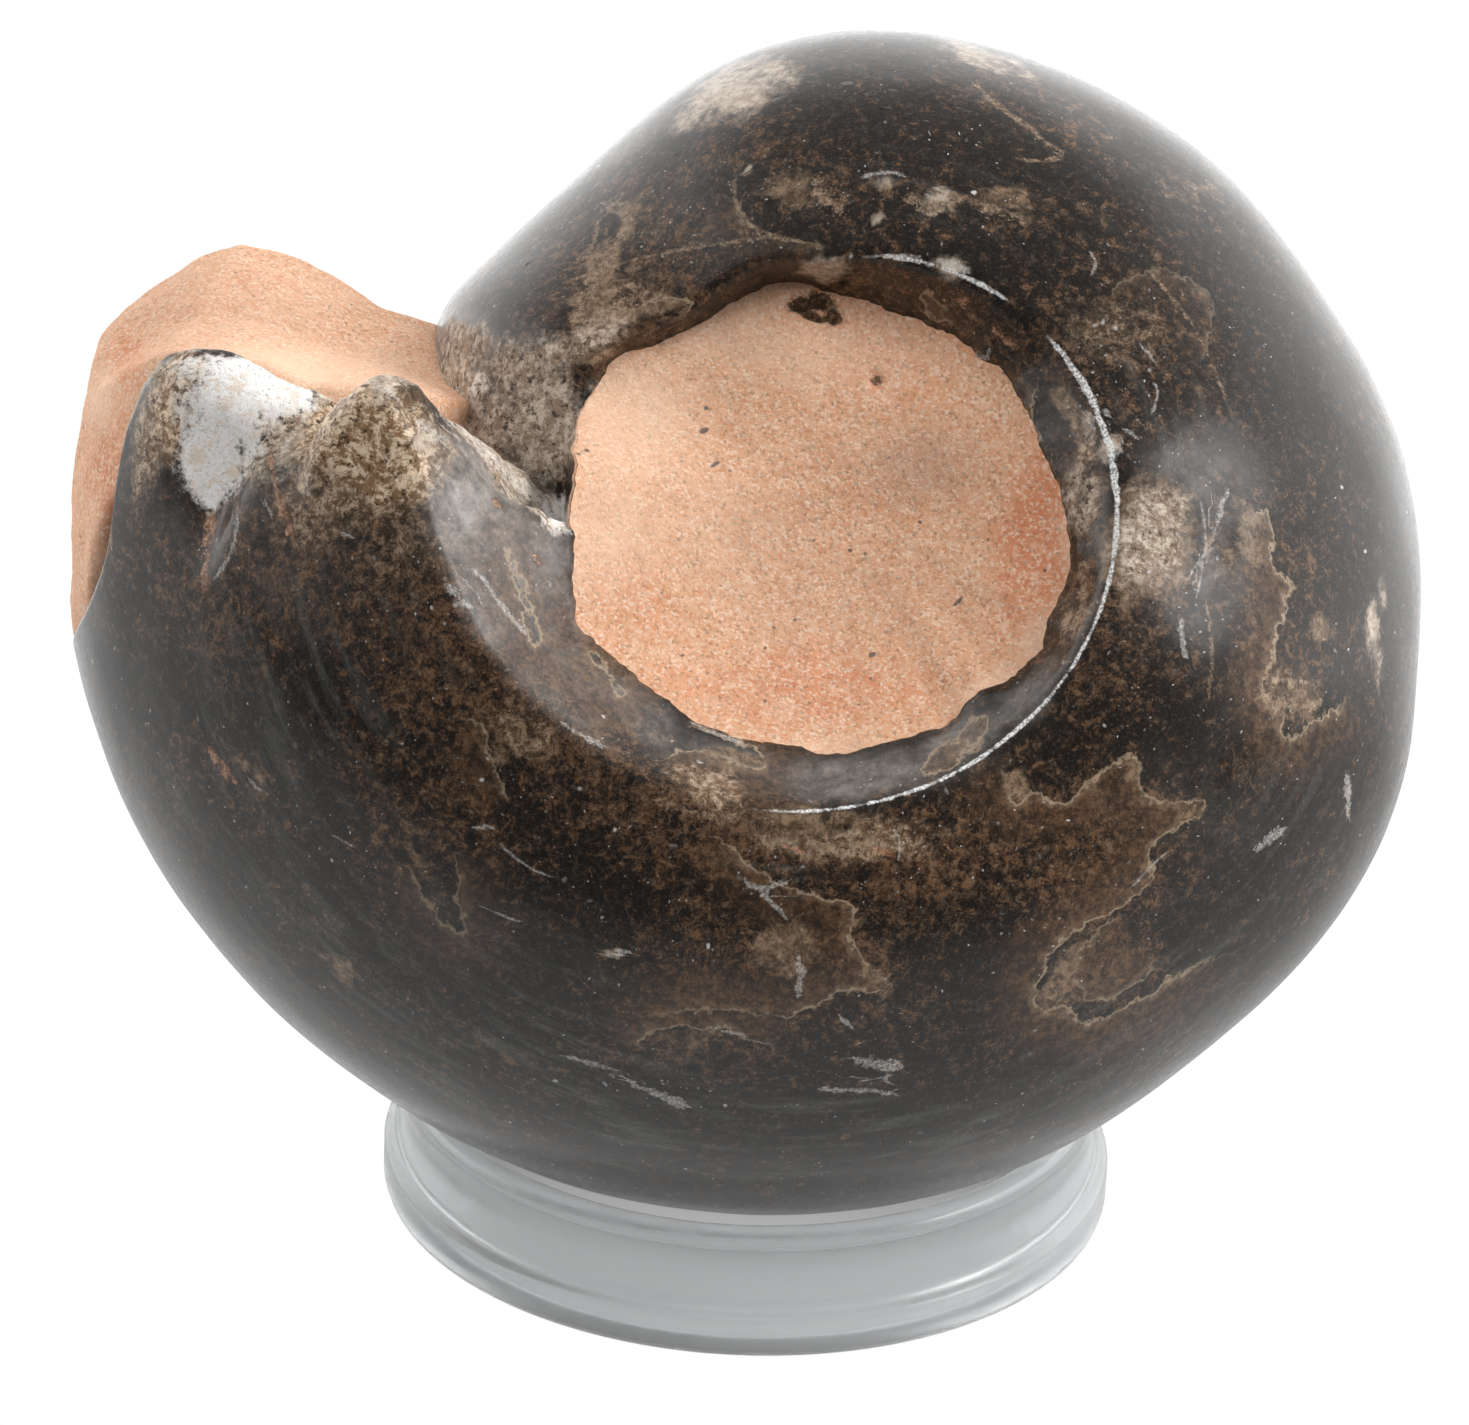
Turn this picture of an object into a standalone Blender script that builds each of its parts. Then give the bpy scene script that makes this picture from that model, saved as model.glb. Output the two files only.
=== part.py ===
"""A polished ammonite, filled with sandstone, that leans back in a clear ring stand.

Metres, +Z up. The front faces -Y. The stone pieces are modelled on the coil's own axis and hang from
one empty, which leans and turns them into place above the ring.
"""

import math

import bmesh
import bpy
from mathutils import Vector

MM = 0.001
GAP = 0.3  # mm between neighbours that touch

# The coil. Angles are degrees round it, clockwise from the left as seen from the front.
COIL_CENTRE = (4.01, 3.0, 41.85)  # mm, from the middle of the ring's foot
COIL_LEAN = 33.0
COIL_YAW = -2.3
VENTER_AT_LEFT = 25.4  # mm from the axis to the outer edge, one turn before the end
VENTER_GROWTH = 1.853  # per turn
# Ground flats and swells of the outer edge: degrees, mm of height, degrees of half width
VENTER_FACETS = ((26, 0.7, 7), (50, -1.1, 16), (86, 0.8, 20), (150, -0.7, 20), (165, 0.2, 10),
                 (190, -0.35, 8), (205, 0.8, 20), (233, -0.4, 14), (330, 0.15, 15), (352, -0.25, 12))
SHOULDER_AT_TOP = 13.52  # mm from the axis to the rim of the hollow, at SHOULDER_ANGLE
SHOULDER_ANGLE = 99
SHOULDER_GROWTH = 2.124
HALF_WIDTH_SHARE = 0.625  # of the venter radius
FLANK_ANGLE = 80  # how far the section's arc runs from the venter to each shoulder
SHOULDER_ROUND = 1.4
SHOULDER_ROUND_LIMIT = 0.45  # of the wall's length
ROUND_SPAN = 4.0  # degrees of place that the rounded shoulder takes on each side of its corner
LEAST_WALL = 0.6
LEAST_STEP = 0.01  # mm between one whorl and the next
OUTER_FROM = 200  # the whorl covers an earlier one from here on

# The seat of the sandstone plugs: degrees, then mm from the axis, then mm from the middle plane
SEAT_RADIUS = ((12, 15.3), (28, 15.1), (46, 13.0), (71, 13.0), (91, 11.8), (128, 10.9), (161, 12.5),
               (187, 14.4), (203, 15.0), (228, 15.0), (261, 15.7), (296, 15.0), (333, 16.0), (359, 15.0))
SEAT_HEIGHT = ((30, 15.0), (99, 15.6), (180, 19.2), (270, 21.7), (350, 21.6))
SOCKET_DEPTH = 5.0
SOCKET_TAPER = 0.92
SOCKET_FLOOR = 6.0  # mm from the middle plane
FLOOR_GAP = 0.48
DISH_FLOOR = 17.0
DISH_POWER = 1.8

# The broken end: place across the whorl, then degrees at which the dark stone ends there, mm of rounding,
# and degrees by which the broken face leans on from its edge to its foot.
# Places are degrees round the section: -110 is the near seat, 0 the venter and 110 the far seat.
SEAT_PLACE = 110
END_LINE = ((-110, -15), (-106, -12), (-98, -9), (-89.5, -5), (-85, -1), (-80, 4), (-74.5, 7.5),
            (-71, 7.2), (-67, 5.6), (-63, 3.6), (-59, 4.5), (-53, 7.5), (-48, 8.5), (-42.5, 7), (-40, 4),
            (-35.5, -1.5), (-32, -6), (-27, -9), (-17, -11), (0, -11), (60, -6), (80, 0), (95, -6), (110, -12))
END_ROUND = ((-110, 0.5), (-95, 1.6), (-80, 2.8), (-74, 3.2), (-71, 3.4), (-67, 4.6), (-63, 7.5),
             (-59, 7.0), (-54, 4.2), (-48, 3.0), (-42, 2.2), (-38, 0.8), (110, 0.8))
END_ROUND_LIMIT = 0.4  # of the step down to the whorl beneath
END_SLOPE = ((-110, 1), (-98, -6), (-85, -8), (-53, -8), (-42, -3), (-27, 3), (110, 3))

# Two swollen septum lobes beside the break, and the groove between them
LOBES = ((26.0, 4.2, 1.3), (38.0, 2.4, 0.6))  # mm from the axis, mm of half width, mm of height
LOBE_START = -6  # degrees from the end of the whorl, as in the tables above
LOBE_RISE = 10
GROOVE = ((-14, 36.0, 0.8, 0.0), (-5, 35.2, 1.6, 1.4), (0, 33.4, 2.6, 2.0), (4, 31.5, 3.0, 2.2),
          (9, 31.0, 3.2, 2.2))  # degrees, mm from the axis, mm of half width, mm of depth

# The sandstone left in the last chamber: its top as mm from the axis and degrees, and how many degrees
# that top falls back by mm from the middle plane. Its outside stops growing at CHAMBER_LAST_TURN.
CHAMBER_TOP = ((27, 24.0), (30.5, 23.0), (33, 24.2), (36, 24.2), (39.7, 22.8), (41.5, 20.5), (42.7, 18.2),
               (44, 15.9), (45.3, 13.2), (46.5, 10))
CHAMBER_FALL = ((-24, 40), (-20, 15), (-16, 14), (-9, 9), (-5, 3), (-2, 0), (2, 0), (20, 5), (27, 13),
                (31, 20))
CHAMBER_LAST_TURN = 350
CHAMBER_HEART = (4.0, 36.0, 3.0)  # degrees, mm from the axis, mm from the middle plane
CHAMBER_START = ((-20, 2), (-12, -6), (-6, -16), (27, -16))  # by mm from the middle plane
CHAMBER_INNER = ((-20, 26), (-12, 22), (16, 21), (24, 25.5))  # by mm from the middle plane
CHAMBER_RECESS = 0.35
CHAMBER_GRID = (44, 26)
CHAMBER_WEAR = 2
CHAMBER_WEAR_STRENGTH = 0.5
PRESS_STEPS = 90
PRESS_REACH = 40.0
PRESS_HALVINGS = 12

# The ring: radii and heights in mm
RING_PROFILE = ((20.3, 7.8), (21.1, 7.4), (21.3, 6.9), (21.0, 6.6), (21.4, 3.1), (21.8, 2.7), (22.25, 2.3),
                (22.25, 0.4), (21.9, 0.0), (18.9, 0.0), (18.5, 0.4), (18.5, 6.1), (18.9, 6.6))
RING_STEPS = 64
RING_MERGE = 0.01

# Rows and columns of the coil's mesh
WALL_ROWS = 1
ROUND_ROWS = 3
NEAR_FLANK_ROWS = 11
FAR_FLANK_ROWS = 12
NEAR_FLANK_EDGE = -28
TURN_COLUMNS = 46
LATE_COLUMNS = 11
LATE_TURN = 32.0
ROUND_COLUMNS = 4
FACE_COLUMNS = 4
PLUG_RINGS = 3


def clear_scene():
    for old in list(bpy.data.objects):
        bpy.data.objects.remove(old, do_unlink=True)


def make_collection(name):
    made = bpy.data.collections.new(name)
    bpy.context.scene.collection.children.link(made)
    return made


def stone_material(name, colour, roughness, transmission=0.0):
    made = bpy.data.materials.new(name)
    made.use_nodes = True
    shader = made.node_tree.nodes["Principled BSDF"]
    shader.inputs["Base Color"].default_value = (*colour, 1.0)
    shader.inputs["Roughness"].default_value = roughness
    shader.inputs["Metallic"].default_value = 0.0
    shader.inputs["Transmission Weight"].default_value = transmission
    return made


def straight(table, x):
    """The value at x of a line through the table's points."""
    if x <= table[0][0]:
        return table[0][1]
    for (x0, y0, *_), (x1, y1, *_) in zip(table, table[1:]):
        if x <= x1:
            return y0 + (y1 - y0) * (x - x0) / (x1 - x0)
    return table[-1][1]


def around(table, turn):
    """The value at an angle of a smooth closed curve through the table's points."""
    count = len(table)
    angle = (turn - table[0][0]) % 360 + table[0][0]
    place = max(i for i in range(count) if table[i][0] <= angle)
    points = []
    for i in range(place - 1, place + 3):
        lap, index = divmod(i, count)
        points.append((table[index][0] + 360 * lap, table[index][1]))
    (x0, y0), (x1, y1), (x2, y2), (x3, y3) = points
    span = x2 - x1
    t = (angle - x1) / span
    slope1 = (y2 - y0) / (x2 - x0) * span
    slope2 = (y3 - y1) / (x3 - x1) * span
    return ((2 * t**3 - 3 * t**2 + 1) * y1 + (t**3 - 2 * t**2 + t) * slope1
            + (3 * t**2 - 2 * t**3) * y2 + (t**3 - t**2) * slope2)


def venter_radius(turn):
    radius = VENTER_AT_LEFT * VENTER_GROWTH ** (turn / 360)
    return radius + sum(h * math.exp(-(((turn - at) / wide) ** 2)) for at, h, wide in VENTER_FACETS)


def shoulder_radius(turn):
    grown = SHOULDER_AT_TOP * SHOULDER_GROWTH ** ((turn - SHOULDER_ANGLE) / 360)
    return max(grown, around(SEAT_RADIUS, turn) + LEAST_WALL)


def flank_arc(turn, place):
    """A point of the whorl's outline, as (mm from the axis, mm from the middle plane)."""
    outer = venter_radius(turn)
    turned = math.cos(math.radians(FLANK_ANGLE))
    middle = (shoulder_radius(turn) - outer * turned) / (1 - turned)
    angle = math.radians(place)
    width = HALF_WIDTH_SHARE * outer / math.sin(math.radians(FLANK_ANGLE))
    return Vector((middle + (outer - middle) * math.cos(angle), width * math.sin(angle)))


def section(turn, place):
    """The whorl's outline at any place, from one plug's seat over the venter to the other's."""
    side = math.copysign(1, place)
    angle = abs(place)
    corner = flank_arc(turn, FLANK_ANGLE)
    seat = Vector((around(SEAT_RADIUS, turn), around(SEAT_HEIGHT, turn)))
    wall = corner - seat
    reach = min(SHOULDER_ROUND, SHOULDER_ROUND_LIMIT * wall.length)
    fall_per_radian = venter_radius(turn) - flank_arc(turn, 90).x
    flank_start = FLANK_ANGLE - math.degrees(reach / fall_per_radian)
    wall_end = FLANK_ANGLE + ROUND_SPAN
    if angle <= FLANK_ANGLE - ROUND_SPAN:
        scaled = angle / (FLANK_ANGLE - ROUND_SPAN) * flank_start
        point = flank_arc(turn, scaled)
    elif angle <= wall_end:
        t = (angle - FLANK_ANGLE + ROUND_SPAN) / (2 * ROUND_SPAN)
        before = flank_arc(turn, flank_start)
        after = corner - wall.normalized() * reach
        point = before * (1 - t) ** 2 + corner * 2 * t * (1 - t) + after * t**2
    else:
        t = (angle - wall_end) / (SEAT_PLACE - wall_end)
        point = (corner - wall.normalized() * reach).lerp(seat, t)
    return Vector((point.x, side * point.y))


def to_coil(turn, radius, depth):
    """Cylinder coordinates in mm as a point in metres on the coil's own axes."""
    angle = math.radians(turn)
    return Vector((-radius * math.cos(angle), depth, radius * math.sin(angle))) * MM


def groove_at(turn):
    centre = straight(GROOVE, turn)
    width = straight([(row[0], row[2]) for row in GROOVE], turn)
    depth = straight([(row[0], row[3]) for row in GROOVE], turn)
    return centre, width, depth


def relief(turn, place, radius):
    """How far the lobes beside the break stand out, less the groove between them, in mm."""
    late = turn - 360
    if place > NEAR_FLANK_EDGE or late < GROOVE[0][0]:
        return 0.0
    swell = min(1.0, max(0.0, (late - LOBE_START) / LOBE_RISE))
    out = sum(swell * height * math.exp(-(((radius - at) / wide) ** 2)) for at, wide, height in LOBES)
    centre, width, depth = groove_at(late)
    return out - depth * math.exp(-(((radius - centre) / width) ** 2))


def place_list():
    """The mesh rows' places across the whorl, from the near seat to the far seat."""
    flank = FLANK_ANGLE - ROUND_SPAN
    wall = FLANK_ANGLE + ROUND_SPAN
    near = [-SEAT_PLACE]
    near += [-SEAT_PLACE + (SEAT_PLACE - wall) * (i + 1) / (WALL_ROWS + 1) for i in range(WALL_ROWS)]
    near += [-wall + 2 * ROUND_SPAN * i / (ROUND_ROWS - 1) for i in range(ROUND_ROWS)]
    near += [-flank + (flank + NEAR_FLANK_EDGE) * (i + 1) / NEAR_FLANK_ROWS for i in range(NEAR_FLANK_ROWS)]
    step = (flank - NEAR_FLANK_EDGE) / FAR_FLANK_ROWS
    far = [NEAR_FLANK_EDGE + step * (i + 1) for i in range(FAR_FLANK_ROWS)]
    far += [flank + 2 * ROUND_SPAN * (i + 1) / (ROUND_ROWS - 1) for i in range(ROUND_ROWS - 1)]
    far += [wall + (SEAT_PLACE - wall) * (i + 1) / (WALL_ROWS + 1) for i in range(WALL_ROWS + 1)]
    return near + far


def column_list(place):
    """The mesh columns at one place, as (turn, share of the way down to the whorl beneath)."""
    last = 360 + straight(END_LINE, place)
    lean = straight(END_SLOPE, place)
    first = last - 360 + lean
    step = (section(last, place) - section(last - 360, place)).length
    rounding = min(straight(END_ROUND, place), END_ROUND_LIMIT * step)
    rounded_from = last - math.degrees(rounding / section(last, place).x)
    late_from = rounded_from - LATE_TURN
    columns = [(first + (late_from - first) * i / TURN_COLUMNS, 0.0) for i in range(TURN_COLUMNS)]
    columns += [(late_from + LATE_TURN * i / LATE_COLUMNS, 0.0) for i in range(LATE_COLUMNS)]
    for i in range(ROUND_COLUMNS):
        t = math.radians(90 * i / (ROUND_COLUMNS - 1))
        drop = rounding * (1 - math.cos(t)) / max(step, LEAST_STEP)
        columns.append((rounded_from + (last - rounded_from) * math.sin(t), drop))
    dropped = columns[-1][1]
    for i in range(FACE_COLUMNS):
        t = (i + 1) / (FACE_COLUMNS + 1)
        columns.append((last + lean * t, dropped + (1 - dropped) * t))
    return columns


def coil_point(turn, share, place):
    """A point of the coil, where share goes from this whorl's surface down to the one beneath it."""
    over = section(turn, place)
    if turn < OUTER_FROM:
        return to_coil(turn, over.x, over.y)
    under = section(turn - 360, place)
    step = max((over - under).length, LEAST_STEP)
    share -= relief(turn, place, over.x) / step
    point = over.lerp(under, share)
    return to_coil(turn, point.x, point.y)


def grid_of(vertex, columns, rows):
    """Which column and row of a UV sphere a vertex belongs to."""
    place = vertex.co.normalized()
    row = round(math.acos(max(-1.0, min(1.0, place.z))) / math.pi * rows)
    column = round(math.atan2(place.y, place.x) / (2 * math.pi) * columns) % columns
    return column, row


def sphere_object(name, columns, rows, place_vertex, collection, material):
    """A UV sphere whose vertices are put where place_vertex says."""
    form = bmesh.new()
    bmesh.ops.create_uvsphere(form, u_segments=columns, v_segments=rows, radius=1.0)
    for vertex in form.verts:
        vertex.co = place_vertex(vertex)
    bmesh.ops.triangulate(form, faces=[f for f in form.faces if len(f.verts) > 3])
    if form.calc_volume(signed=True) < 0:
        bmesh.ops.reverse_faces(form, faces=form.faces)
    mesh = bpy.data.meshes.new(name)
    form.to_mesh(mesh)
    form.free()
    mesh.materials.append(material)
    mesh.shade_smooth()
    made = bpy.data.objects.new(name, mesh)
    collection.objects.link(made)
    return made


def make_coil(collection, material):
    """The dark coil: one turn of the growth law, its broken end and the sockets of both plugs."""
    places = place_list()
    table = [column_list(place) for place in places]
    columns = len(table[0])
    rows = len(places) + 3

    def place_vertex(vertex):
        column, row = grid_of(vertex, columns, rows)
        side = -1 if row <= rows // 2 else 1
        if row in (0, rows):
            return to_coil(0, 0, side * SOCKET_FLOOR)
        if row in (1, rows - 1):
            turn = table[0][column][0] if row == 1 else table[-1][column][0]
            radius = around(SEAT_RADIUS, turn) * SOCKET_TAPER
            return to_coil(turn, radius, side * (around(SEAT_HEIGHT, turn) - SOCKET_DEPTH))
        index = row - 2
        turn, share = table[index][column]
        return coil_point(turn, share, places[index])

    return sphere_object("ammonite_coil", columns, rows, place_vertex, collection, material)


def make_plug(name, side, collection, material):
    """A sandstone plug: a dished face, and a body that follows its socket with a small gap."""
    place = side * SEAT_PLACE
    turns = [turn for turn, _ in column_list(place)]
    rows = PLUG_RINGS + 3

    def place_vertex(vertex):
        column, row = grid_of(vertex, len(turns), rows)
        turn = turns[column]
        rim = around(SEAT_RADIUS, turn) - GAP
        height = around(SEAT_HEIGHT, turn)
        if row <= PLUG_RINGS + 1:
            share = row / (PLUG_RINGS + 1)
            face = DISH_FLOOR + (height - DISH_FLOOR) * share**DISH_POWER
            return to_coil(turn, rim * share, side * face)
        if row == PLUG_RINGS + 2:
            foot = around(SEAT_RADIUS, turn) * SOCKET_TAPER - GAP
            return to_coil(turn, foot, side * (height - SOCKET_DEPTH + GAP))
        return to_coil(0, 0, side * (SOCKET_FLOOR + FLOOR_GAP))

    return sphere_object(name, len(turns), rows, place_vertex, collection, material)


def in_chamber(turn, radius, depth):
    """True inside the sandstone of the last chamber, or inside the dark stone that it is cut back to."""
    grown = min(turn + 360, CHAMBER_LAST_TURN)
    widest = HALF_WIDTH_SHARE * venter_radius(grown) - CHAMBER_RECESS
    wall = max(0.0, flank_arc(grown, FLANK_ANGLE).x - radius)
    if abs(depth) >= widest - wall or turn < straight(CHAMBER_START, depth):
        return False
    if radius < straight(CHAMBER_INNER, depth):
        return False
    place = math.degrees(math.asin(depth / widest * math.sin(math.radians(FLANK_ANGLE))))
    if radius > flank_arc(grown, place).x - CHAMBER_RECESS:
        return False
    return turn < straight(CHAMBER_TOP, radius) - straight(CHAMBER_FALL, depth)


def make_chamber(collection, cutters, material, coil):
    """The last chamber's sandstone, pressed outwards from its middle, then cut back by the dark stone."""
    columns, rows = CHAMBER_GRID
    heart = to_coil(*CHAMBER_HEART)

    def reached(direction):
        farthest = PRESS_REACH * MM
        step = farthest / PRESS_STEPS
        distance = 0.0
        while distance < farthest:
            spot = (heart + direction * (distance + step)) / MM
            turn = math.degrees(math.atan2(spot.z, -spot.x))
            if not in_chamber(turn, math.hypot(spot.x, spot.z), spot.y):
                break
            distance += step
        low = distance
        high = distance + step
        for _ in range(PRESS_HALVINGS):
            middle = (low + high) / 2
            spot = (heart + direction * middle) / MM
            turn = math.degrees(math.atan2(spot.z, -spot.x))
            if in_chamber(turn, math.hypot(spot.x, spot.z), spot.y):
                low = middle
            else:
                high = middle
        return low

    def place_vertex(vertex):
        direction = vertex.co.normalized()
        return heart + direction * reached(direction)

    lump = sphere_object("chamber_sandstone", columns, rows, place_vertex, collection, material)
    cutter = bpy.data.objects.new("coil_with_gap", coil.data.copy())
    cutters.objects.link(cutter)
    cutter.hide_render = True
    cutter.display_type = "WIRE"
    worn = lump.modifiers.new("worn", "SMOOTH")
    worn.factor = CHAMBER_WEAR_STRENGTH
    worn.iterations = CHAMBER_WEAR
    swell = cutter.modifiers.new("gap", "DISPLACE")
    swell.strength = GAP * MM
    swell.mid_level = 0.0
    cut = lump.modifiers.new("cut_back", "BOOLEAN")
    cut.operation = "DIFFERENCE"
    cut.solver = "EXACT"
    cut.object = cutter
    return lump, cutter


def make_ring(collection, material):
    """The ring stand, turned from its profile."""
    mesh = bpy.data.meshes.new("ring_stand")
    form = bmesh.new()
    points = [form.verts.new((radius * MM, 0, height * MM)) for radius, height in RING_PROFILE]
    for one, other in zip(points, points[1:] + points[:1]):
        form.edges.new((one, other))
    form.to_mesh(mesh)
    form.free()
    mesh.materials.append(material)
    made = bpy.data.objects.new("ring_stand", mesh)
    collection.objects.link(made)
    turned = made.modifiers.new("turned", "SCREW")
    turned.steps = RING_STEPS
    turned.render_steps = RING_STEPS
    turned.use_merge_vertices = True
    turned.merge_threshold = RING_MERGE * MM
    return made


def middle_of(objects):
    """The middle of the objects' evaluated bounds along X and Y."""
    bpy.context.view_layer.update()
    graph = bpy.context.evaluated_depsgraph_get()
    corners = []
    for item in objects:
        mesh = item.evaluated_get(graph).data
        corners += [item.matrix_world @ vertex.co for vertex in mesh.vertices]
    xs = [corner.x for corner in corners]
    ys = [corner.y for corner in corners]
    return (min(xs) + max(xs)) / 2, (min(ys) + max(ys)) / 2


def main():
    clear_scene()
    parts = make_collection("polished_ammonite")
    cutters = make_collection("cutters")
    calcite = stone_material("polished_calcite", (0.045, 0.032, 0.024), 0.22)
    sandstone = stone_material("orange_sandstone", (0.68, 0.39, 0.25), 0.9)
    acrylic = stone_material("clear_acrylic", (0.92, 0.94, 0.95), 0.08, transmission=1.0)

    coil = make_coil(parts, calcite)
    near_plug = make_plug("near_sandstone_plug", -1, parts, sandstone)
    far_plug = make_plug("far_sandstone_plug", 1, parts, sandstone)
    chamber, cutter = make_chamber(parts, cutters, sandstone, coil)
    ring = make_ring(parts, acrylic)

    stand_point = bpy.data.objects.new("stand_point", None)
    coil_centre = bpy.data.objects.new("coil_centre", None)
    parts.objects.link(stand_point)
    parts.objects.link(coil_centre)
    coil_centre.parent = stand_point
    coil_centre.location = Vector(COIL_CENTRE) * MM
    coil_centre.rotation_euler = (math.radians(-COIL_LEAN), 0, math.radians(COIL_YAW))
    for stone in (coil, near_plug, far_plug, chamber, cutter):
        stone.parent = coil_centre
    ring.parent = stand_point
    middle_x, middle_y = middle_of((coil, near_plug, far_plug, chamber, ring))
    stand_point.location = (-middle_x, -middle_y, 0)


main()
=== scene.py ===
"""The looks of a polished ammonite that leans back in a clear ring stand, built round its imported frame.

Meshes are in metres. Sizes below are in millimetres and degrees, and places in the photograph are pixels of
its 1469 x 1425 frame. The front faces -Y.
"""

import logging
import math
from dataclasses import dataclass, field
from enum import Enum
from functools import lru_cache
from typing import NamedTuple

import bpy
import numpy as np
from mathutils import Matrix, Vector


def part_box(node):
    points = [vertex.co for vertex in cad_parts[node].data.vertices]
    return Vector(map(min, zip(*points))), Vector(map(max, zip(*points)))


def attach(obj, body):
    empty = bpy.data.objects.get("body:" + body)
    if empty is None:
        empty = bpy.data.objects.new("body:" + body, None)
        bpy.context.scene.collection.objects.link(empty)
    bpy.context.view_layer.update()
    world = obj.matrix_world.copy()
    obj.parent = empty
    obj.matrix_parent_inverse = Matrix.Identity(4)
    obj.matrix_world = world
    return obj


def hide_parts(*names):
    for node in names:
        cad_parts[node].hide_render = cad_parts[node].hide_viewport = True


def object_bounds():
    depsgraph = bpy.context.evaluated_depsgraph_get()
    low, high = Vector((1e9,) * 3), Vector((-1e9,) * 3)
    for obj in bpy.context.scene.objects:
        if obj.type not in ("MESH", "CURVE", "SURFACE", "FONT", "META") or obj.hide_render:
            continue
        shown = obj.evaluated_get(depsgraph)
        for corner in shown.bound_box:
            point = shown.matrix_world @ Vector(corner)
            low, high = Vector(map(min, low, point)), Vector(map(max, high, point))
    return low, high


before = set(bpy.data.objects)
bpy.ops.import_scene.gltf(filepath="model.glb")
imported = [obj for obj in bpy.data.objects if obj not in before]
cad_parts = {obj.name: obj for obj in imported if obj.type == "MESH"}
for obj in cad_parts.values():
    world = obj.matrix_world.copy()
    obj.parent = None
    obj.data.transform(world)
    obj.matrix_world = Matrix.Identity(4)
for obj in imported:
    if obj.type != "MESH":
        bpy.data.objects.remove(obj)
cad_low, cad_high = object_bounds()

MM = 0.001
FRAME_WIDTH = 1469
FRAME_HEIGHT = 1425
SENSOR = 36.0
FAR_AWAY = 50.0  # mm, a distance that no mark reaches
BEYOND = 1e6  # pixels, further than any line

Array = np.ndarray
Table = tuple[tuple[float, ...], ...]
Points = tuple[tuple[float, float], ...]
Colour = tuple[float, float, float]

SUTURES = ("suture_one", "suture_two")
STROKES = ("stroke_white", "stroke_orange", "stroke_dark", "stroke_tan")

log = logging.getLogger("ammonite")


def column(table: Table, index: int) -> Array:
    """One column of a table, as numbers."""
    return np.array([row[index] for row in table], float)


def hermite(x: Array, y: Array, at: Array) -> Array:
    """A smooth curve through points.

    Args:
        x: The points' places, rising.
        y: The points' values.
        at: Where the curve is read. It stays level beyond the first and last point.

    Returns:
        The curve's values.
    """
    slope = np.zeros(len(x))
    slope[1:-1] = (y[2:] - y[:-2]) / (x[2:] - x[:-2])
    at = np.clip(at, x[0], x[-1])
    i = np.clip(np.searchsorted(x, at, side="right") - 1, 0, len(x) - 2)
    span = x[i + 1] - x[i]
    t = (at - x[i]) / span
    return ((2 * t**3 - 3 * t**2 + 1) * y[i] + (t**3 - 2 * t**2 + t) * slope[i] * span
            + (3 * t**2 - 2 * t**3) * y[i + 1] + (t**3 - t**2) * slope[i + 1] * span)


def smooth(table: Table, at: Array, index: int = 1) -> Array:
    """The value of a table's column, read along a smooth curve through its points."""
    return hermite(column(table, 0), column(table, index), np.asarray(at, float))


def around(table: Table, turn: Array) -> Array:
    """A smooth closed curve through a table's points.

    Args:
        table: Rows of a turn in degrees and a value.
        turn: Where the curve is read, in degrees.

    Returns:
        The curve's values.
    """
    x, y = column(table, 0), column(table, 1)
    laps = np.concatenate([x - 360, x, x + 360])
    return hermite(laps, np.tile(y, 3), np.mod(np.asarray(turn, float), 360))


def rise(value: Array, low: float, high: float) -> Array:
    """A soft step from 0 at low to 1 at high."""
    t = np.clip((value - low) / (high - low), 0, 1)
    return t * t * (3 - 2 * t)


def rough(points: Array, size: float, seed: float = 0.0) -> Array:
    """Smooth noise at points in mm.

    Args:
        points: One point in each row.
        size: The noise's feature size in mm.
        seed: Shifts the noise, so that two uses differ.

    Returns:
        A value for each point, from -1 to 1.
    """
    at = points / size + seed * 7.31
    cell = np.floor(at)
    part = at - cell
    part = part * part * (3 - 2 * part)
    total = np.zeros(len(points))
    for corner in np.ndindex(2, 2, 2):
        knot = cell + corner
        mixed = np.sin(knot @ np.array([12.9898, 78.233, 37.719])) * 43758.5453
        weight = np.prod(np.where(np.array(corner) == 1, part, 1 - part), axis=1)
        total += weight * (2 * (mixed - np.floor(mixed)) - 1)
    return total


def volume(mesh: bpy.types.Mesh) -> float:
    """The signed volume that a mesh of quads and triangles encloses.

    Args:
        mesh: A closed mesh.

    Returns:
        The volume, below zero where the faces point inwards.
    """
    mesh.calc_loop_triangles()
    corners = np.empty(len(mesh.vertices) * 3)
    mesh.vertices.foreach_get("co", corners)
    index = np.empty(len(mesh.loop_triangles) * 3, np.int32)
    mesh.loop_triangles.foreach_get("vertices", index)
    a, b, c = corners.reshape(-1, 3)[index.reshape(-1, 3)].transpose(1, 0, 2)
    return float(np.einsum("ij,ij->i", a, np.cross(b, c)).sum() / 6)


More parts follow.
